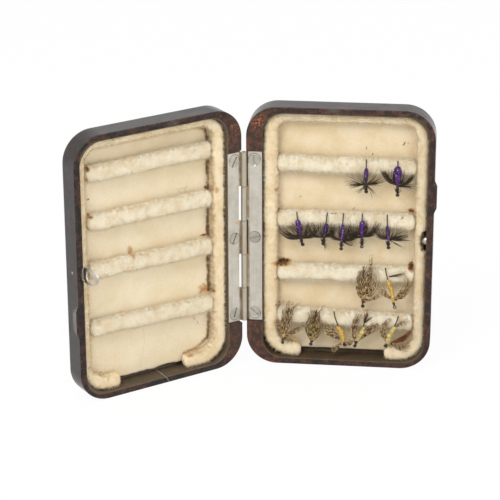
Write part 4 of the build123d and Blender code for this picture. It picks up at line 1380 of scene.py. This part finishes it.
def add_bundle(gather, bundle, look, rng):
    """Fibres that leave one place, stand off the bundle's path in its middle and fan out to their tips."""
    count, stations, index = bundle.count, FIBRE_STATIONS, np.arange(FIBRE_STATIONS)
    middle = smooth_path(bundle.path, stations)
    along = unit(np.gradient(middle, axis=0))
    aside = np.stack([-along[:, 1], along[:, 0]], axis=1)
    long = rng.uniform(*FIBRE_LENGTHS, count)
    off = rng.normal(0, FIBRE_SPREAD, count).clip(-WIDEST_FIBRE, WIDEST_FIBRE)
    at = np.minimum(np.linspace(0, 1, stations) * long[:, None], LONGEST_FIBRE) * (stations - 1)
    points, sideways = (
        np.stack([np.interp(at, index, values[:, axis]) for axis in (0, 1)], axis=-1)
        for values in (middle, aside)
    )
    reach = at / (stations - 1)
    stand = off[:, None] * (bundle.belly * np.sin(np.pi * reach.clip(0, 1)) + bundle.fan * reach**2)
    stand = stand + rng.normal(0, FIBRE_BIAS, (count, 1)) + rng.normal(0, FIBRE_CURL, (count, 1)) * reach**2
    points = points + sideways * stand[..., None]
    depth = FIBRE_DEPTH - rng.uniform(*FIBRE_RISE, (count, 1)) * np.minimum(reach * 1.8, 1)
    depth = np.clip(depth - FIBRE_ARCH * np.sin(np.pi * reach), LEAST_DEPTH, None)
    lines = np.concatenate([points, depth[..., None]], axis=-1)
    taper = np.interp(np.linspace(0, 1, stations), (0, 0.5, 1), FIBRE_TAPER)
    radii = np.outer(rng.uniform(*FIBRE_THICKNESS, count) * FIBRE_RADIUS[bundle.look], taper)
    gather.add_strands(place(RIGHT, lines), radii, look, rng.random(count))


def tie_fly(number, fly, looks):
    rng = np.random.default_rng(FLY_SEED + number)
    hook_node, dressing_node = f"fly_{number:02d}_hook", f"fly_{number:02d}_dressing"
    bend, eye = hook_line(hook_node)
    down = unit(eye - bend)
    aside = np.array([-down[1], down[0]])
    length = np.linalg.norm(eye - bend)

    def spot(share, off=0.0):
        """A place on the shank or beside it."""
        share, off = np.broadcast_arrays(share, off)
        flat = bend + share[..., None] * length * down + off[..., None] * aside
        depth = SHANK_DEPTHS[0] + (SHANK_DEPTHS[1] - SHANK_DEPTHS[0]) * share
        return np.concatenate([flat, depth[..., None]], axis=-1)

    gather = Gather()
    # Body: wound turns that taper to both ends
    start, end = fly.body
    inside = np.linspace(0, 1, BODY_STATIONS)
    rising, falling = 0.5 * inside / fly.fullest, 1 - 0.5 * (1 - inside) / (1 - fly.fullest)
    peak = np.where(inside < fly.fullest, rising, falling)
    cut, length_share, power = BODY_TAPER
    full = fly.girth * np.sin(np.pi * (peak * length_share + cut)) ** power
    ragged = smooth_noise(np.outer(inside, (16, 3, 5)), 1.0, number)
    ragged = ragged + smooth_noise(np.outer(inside, (5, 2, 3)), 1.0, 60 + number)
    ridges = BODY_TURN_DEPTH * np.sin(inside * 2 * np.pi * BODY_TURNS)
    wound = np.maximum(full * (1 + ridges + BODY_RAGGED * ragged), LEAST_BODY)
    off = fly.bow * np.sin(np.pi * inside) + BODY_RAGGED * ragged * fly.girth
    centres = spot(start + inside * (end - start), off)
    gather.add_tube(place(RIGHT, centres), wound, BODY_SIDES, 0)
    # Thread from the body to the eye, and the varnished head
    swell = THREAD_RADIUS + THREAD_SWELL * np.sin(np.linspace(0.1, 1, THREAD_STATIONS) * np.pi) ** 2
    thread = place(RIGHT, spot(np.linspace(end - THREAD_START, HEAD_START, THREAD_STATIONS)))
    gather.add_tube(thread, swell, THREAD_SIDES, 1)
    if fly.eye:
        round_off = np.sqrt(1 - np.linspace(-HEAD_CUT, HEAD_CUT, HEAD_STATIONS) ** 2)
        varnish = place(RIGHT, spot(np.linspace(HEAD_START, HEAD_END, HEAD_STATIONS)))
        gather.add_tube(varnish, HEAD_RADIUS * fly.eye * round_off, THREAD_SIDES, 1)
    names = [fly.floss, "head"]
    bundles = [bundle for bundle in BUNDLES if bundle.fly == number]
    if fly.floss == "purple":
        collar = [tuple(spot(share)[:2]) for share in COLLAR_SHARES]
        bundles.insert(0, Bundle(number, "dark", COLLAR_FIBRES, collar, 0.5, 1.5))
    for bundle in bundles:
        if bundle.look not in names:
            names.append(bundle.look)
        add_bundle(gather, bundle, names.index(bundle.look), rng)

    materials = [looks[name] for name in names]
    piece = gather.piece(f"fly_{number:02d}_tying", RIGHT, frame_slot(dressing_node), materials)
    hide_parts(dressing_node)
    finish_node(hook_node, looks["hook"])


def frame_slot(node):
    """The record's material slot of a CAD node."""
    return next(part["material_slot"] for part in frame["record"]["subparts"] if part["node"] == node)


# Loose bits of hackle and floss that lie on the felt and the pile, and a hair

class Bit(NamedTuple):
    side: Side
    across: float
    height: float
    depth: float
    length: float
    tilt: float
    radius: float
    look: str


LOOSE_BITS = (
    Bit(RIGHT, 65.1, 98.3, 5.8, 2.0, 62, 0.16, "dark"),
    Bit(RIGHT, 66.8, 98.6, 5.8, 0.9, 55, 0.07, "dark"),
    Bit(RIGHT, 49.7, 95.8, 5.8, 1.5, 92, 0.06, "dark"),
    Bit(RIGHT, 52.3, 93.3, 5.7, 1.2, 80, 0.12, "dark"),
    Bit(RIGHT, 22.9, 73.7, 5.8, 0.5, 10, 0.14, "dark"),
    Bit(RIGHT, 44.9, 69.4, 5.2, 1.7, 58, 0.14, "dark"),
    Bit(RIGHT, 36.1, 68.2, 1.9, 0.8, 30, 0.11, "dark"),
    Bit(RIGHT, 37.8, 68.3, 1.9, 1.1, 42, 0.13, "dark"),
    Bit(RIGHT, 65.2, 67.2, 1.9, 1.9, 38, 0.11, "dark"),
    Bit(RIGHT, 63.4, 65.4, 1.8, 0.6, 40, 0.11, "dark"),
    Bit(RIGHT, 62.2, 64.6, 1.8, 0.7, 15, 0.10, "dark"),
    Bit(RIGHT, 34.6, 64.9, 1.8, 0.9, 25, 0.08, "red"),
    Bit(RIGHT, 42.9, 66.0, 1.8, 1.0, 50, 0.09, "red"),
    Bit(RIGHT, 21.0, 10.7, 1.6, 3.8, -25, 0.36, "amber"),
    Bit(LEFT, 21.2, 23.2, 5.7, 2.6, 70, 0.07, "dark"),
    Bit(LEFT, 19.4, 20.6, 5.7, 2.2, 62, 0.06, "dark"),
    Bit(LEFT, 27.0, 80.6, 5.7, 3.0, 38, 0.05, "red"),
    Bit(LEFT, 24.4, 81.6, 5.7, 3.4, 118, 0.05, "red"),
    Bit(LEFT, 21.0, 93.8, 5.8, 2.4, 4, 0.09, "dark"),
)
BIT_STATIONS = 7
BIT_SIDES = 8
BIT_BEND = 0.1
BIT_CURVE = 0.4
# The hair hangs from inside the left shell over its lower wall's rim
HAIR_PATH = (
    (39.1, 3.3, 7.3), (38.9, 3.0, 3.6), (38.7, 2.83, 0.5),
    (38.4, 2.4, 0.02), (37.8, 1.4, 0.01), (37.2, 0.5, 0.01),
)
HAIR_STATIONS = 25
HAIR_SIDES = 6
HAIR_RADII = (0.075, 0.05)


def loose_bits(looks):
    reach = np.linspace(-0.5, 0.5, BIT_STATIONS)
    for index, bit in enumerate(LOOSE_BITS, start=1):
        tilt = radians(bit.tilt)
        across = bit.across + reach * bit.length * np.cos(tilt) + BIT_BEND * np.cos(reach * 5)
        height = bit.height + reach * bit.length * np.sin(tilt)
        line = np.stack([across, height, bit.depth + BIT_CURVE * reach**2], axis=-1)
        radii = bit.radius * (1 - (2 * reach) ** 2 * 0.8)
        gather = Gather()
        gather.add_tube(place(bit.side, line), radii, BIT_SIDES, 0, 0.3 + 0.04 * index, 0.5)
        gather.piece(f"loose_bit_{index:02d}", bit.side, "purple_dressing", [looks[bit.look]])


def pale_hair(material):
    gather = Gather()
    radii = np.linspace(*HAIR_RADII, HAIR_STATIONS)
    gather.add_tube(place(LEFT, smooth_path(HAIR_PATH, HAIR_STATIONS)), radii, HAIR_SIDES, 0)
    gather.piece("pale_hair", LEFT, "partridge_dressing", [material])


# Setting: floor, light and camera

def seen_by(tree, *rays):
    """1 where the camera's rays or another named kind of ray arrives."""
    path = tree.nodes.new("ShaderNodeLightPath").outputs
    seen = Signal(path["Is Camera Ray"])
    for ray in rays:
        seen = mathematics("MAXIMUM", seen, Signal(path[ray]))
    return seen


def show_backdrop(tree, output, share, lit, shown):
    """Puts a shader that is only shown in the place of the one that is lit, for that share of the rays."""
    inputs = {0: share, 1: Signal(lit.outputs[0]), 2: Signal(shown.outputs[0])}
    blend = add_node(tree, "ShaderNodeMixShader", inputs).outputs[0]
    fill(tree.nodes[output].inputs["Surface"], Signal(blend))


def set_stage():
    finish = Finish("floor_white", Base_Color=(0.86, 0.86, 0.86), Roughness=0.9, Specular_IOR_Level=0.0)
    tree = finish.tree
    glow = add_node(tree, "ShaderNodeEmission", {"Color": (1.0, 1.0, 1.0), "Strength": 1.0})
    share = seen_by(tree, "Is Glossy Ray") * FLOOR_GLOW
    show_backdrop(tree, "Material Output", share, finish.shader, glow)
    mesh = bpy.data.meshes.new("floor")
    corners = [
        (across * FLOOR_REACH, away * FLOOR_REACH, cad_low[2])
        for across, away in ((-1, -1), (1, -1), (1, 1), (-1, 1))
    ]
    mesh.from_pydata(corners, [], [(0, 1, 2, 3)])
    mesh.materials.append(finish.material)
    floor = bpy.data.objects.new("floor", mesh)
    bpy.context.scene.collection.objects.link(floor)


def set_light():
    world = bpy.data.worlds.new("studio")
    bpy.context.scene.world = world
    world.use_nodes = True
    tree = world.node_tree
    ambient = tree.nodes["Background"]
    fill(ambient.inputs["Color"], (1.0, 0.985, 0.96))
    fill(ambient.inputs["Strength"], AMBIENT_STRENGTH)
    backdrop = add_node(tree, "ShaderNodeBackground", {"Color": (1.0, 1.0, 1.0), "Strength": 1.0})
    share = seen_by(tree, "Is Glossy Ray", "Is Transmission Ray")
    show_backdrop(tree, "World Output", share, ambient, backdrop)
    for name, (spot, size, power) in LAMPS.items():
        lamp = bpy.data.lights.new(name, "AREA")
        lamp.energy = power
        lamp.size = size
        lamp_object = bpy.data.objects.new(name, lamp)
        lamp_object.location = spot
        aim = (cad_low + cad_high) / 2 - lamp_object.location
        lamp_object.rotation_euler = aim.to_track_quat("-Z", "Y").to_euler()
        bpy.context.scene.collection.objects.link(lamp_object)


def set_camera():
    data = bpy.data.cameras.new("camera")
    data.sensor_width = SENSOR_WIDTH
    data.lens = CAMERA_LENS
    camera = bpy.data.objects.new("camera", data)
    camera.location = [value * MM for value in CAMERA_PLACE]
    camera.rotation_euler = [radians(value) for value in CAMERA_TURN]
    bpy.context.scene.collection.objects.link(camera)
    bpy.context.scene.camera = camera
    bpy.context.scene.view_settings.view_transform = "Standard"


finish_hard_parts()
for shell_side in SIDES:
    felt_pad(shell_side)
    cross_strips(shell_side)
    edge_strip(shell_side)
fly_looks = fly_materials()
for fly_number, fly_row in enumerate(FLIES, start=1):
    tie_fly(fly_number, fly_row, fly_looks)
loose_bits(fly_looks)
pale_hair(fly_looks["hair"])
set_stage()
set_light()
set_camera()
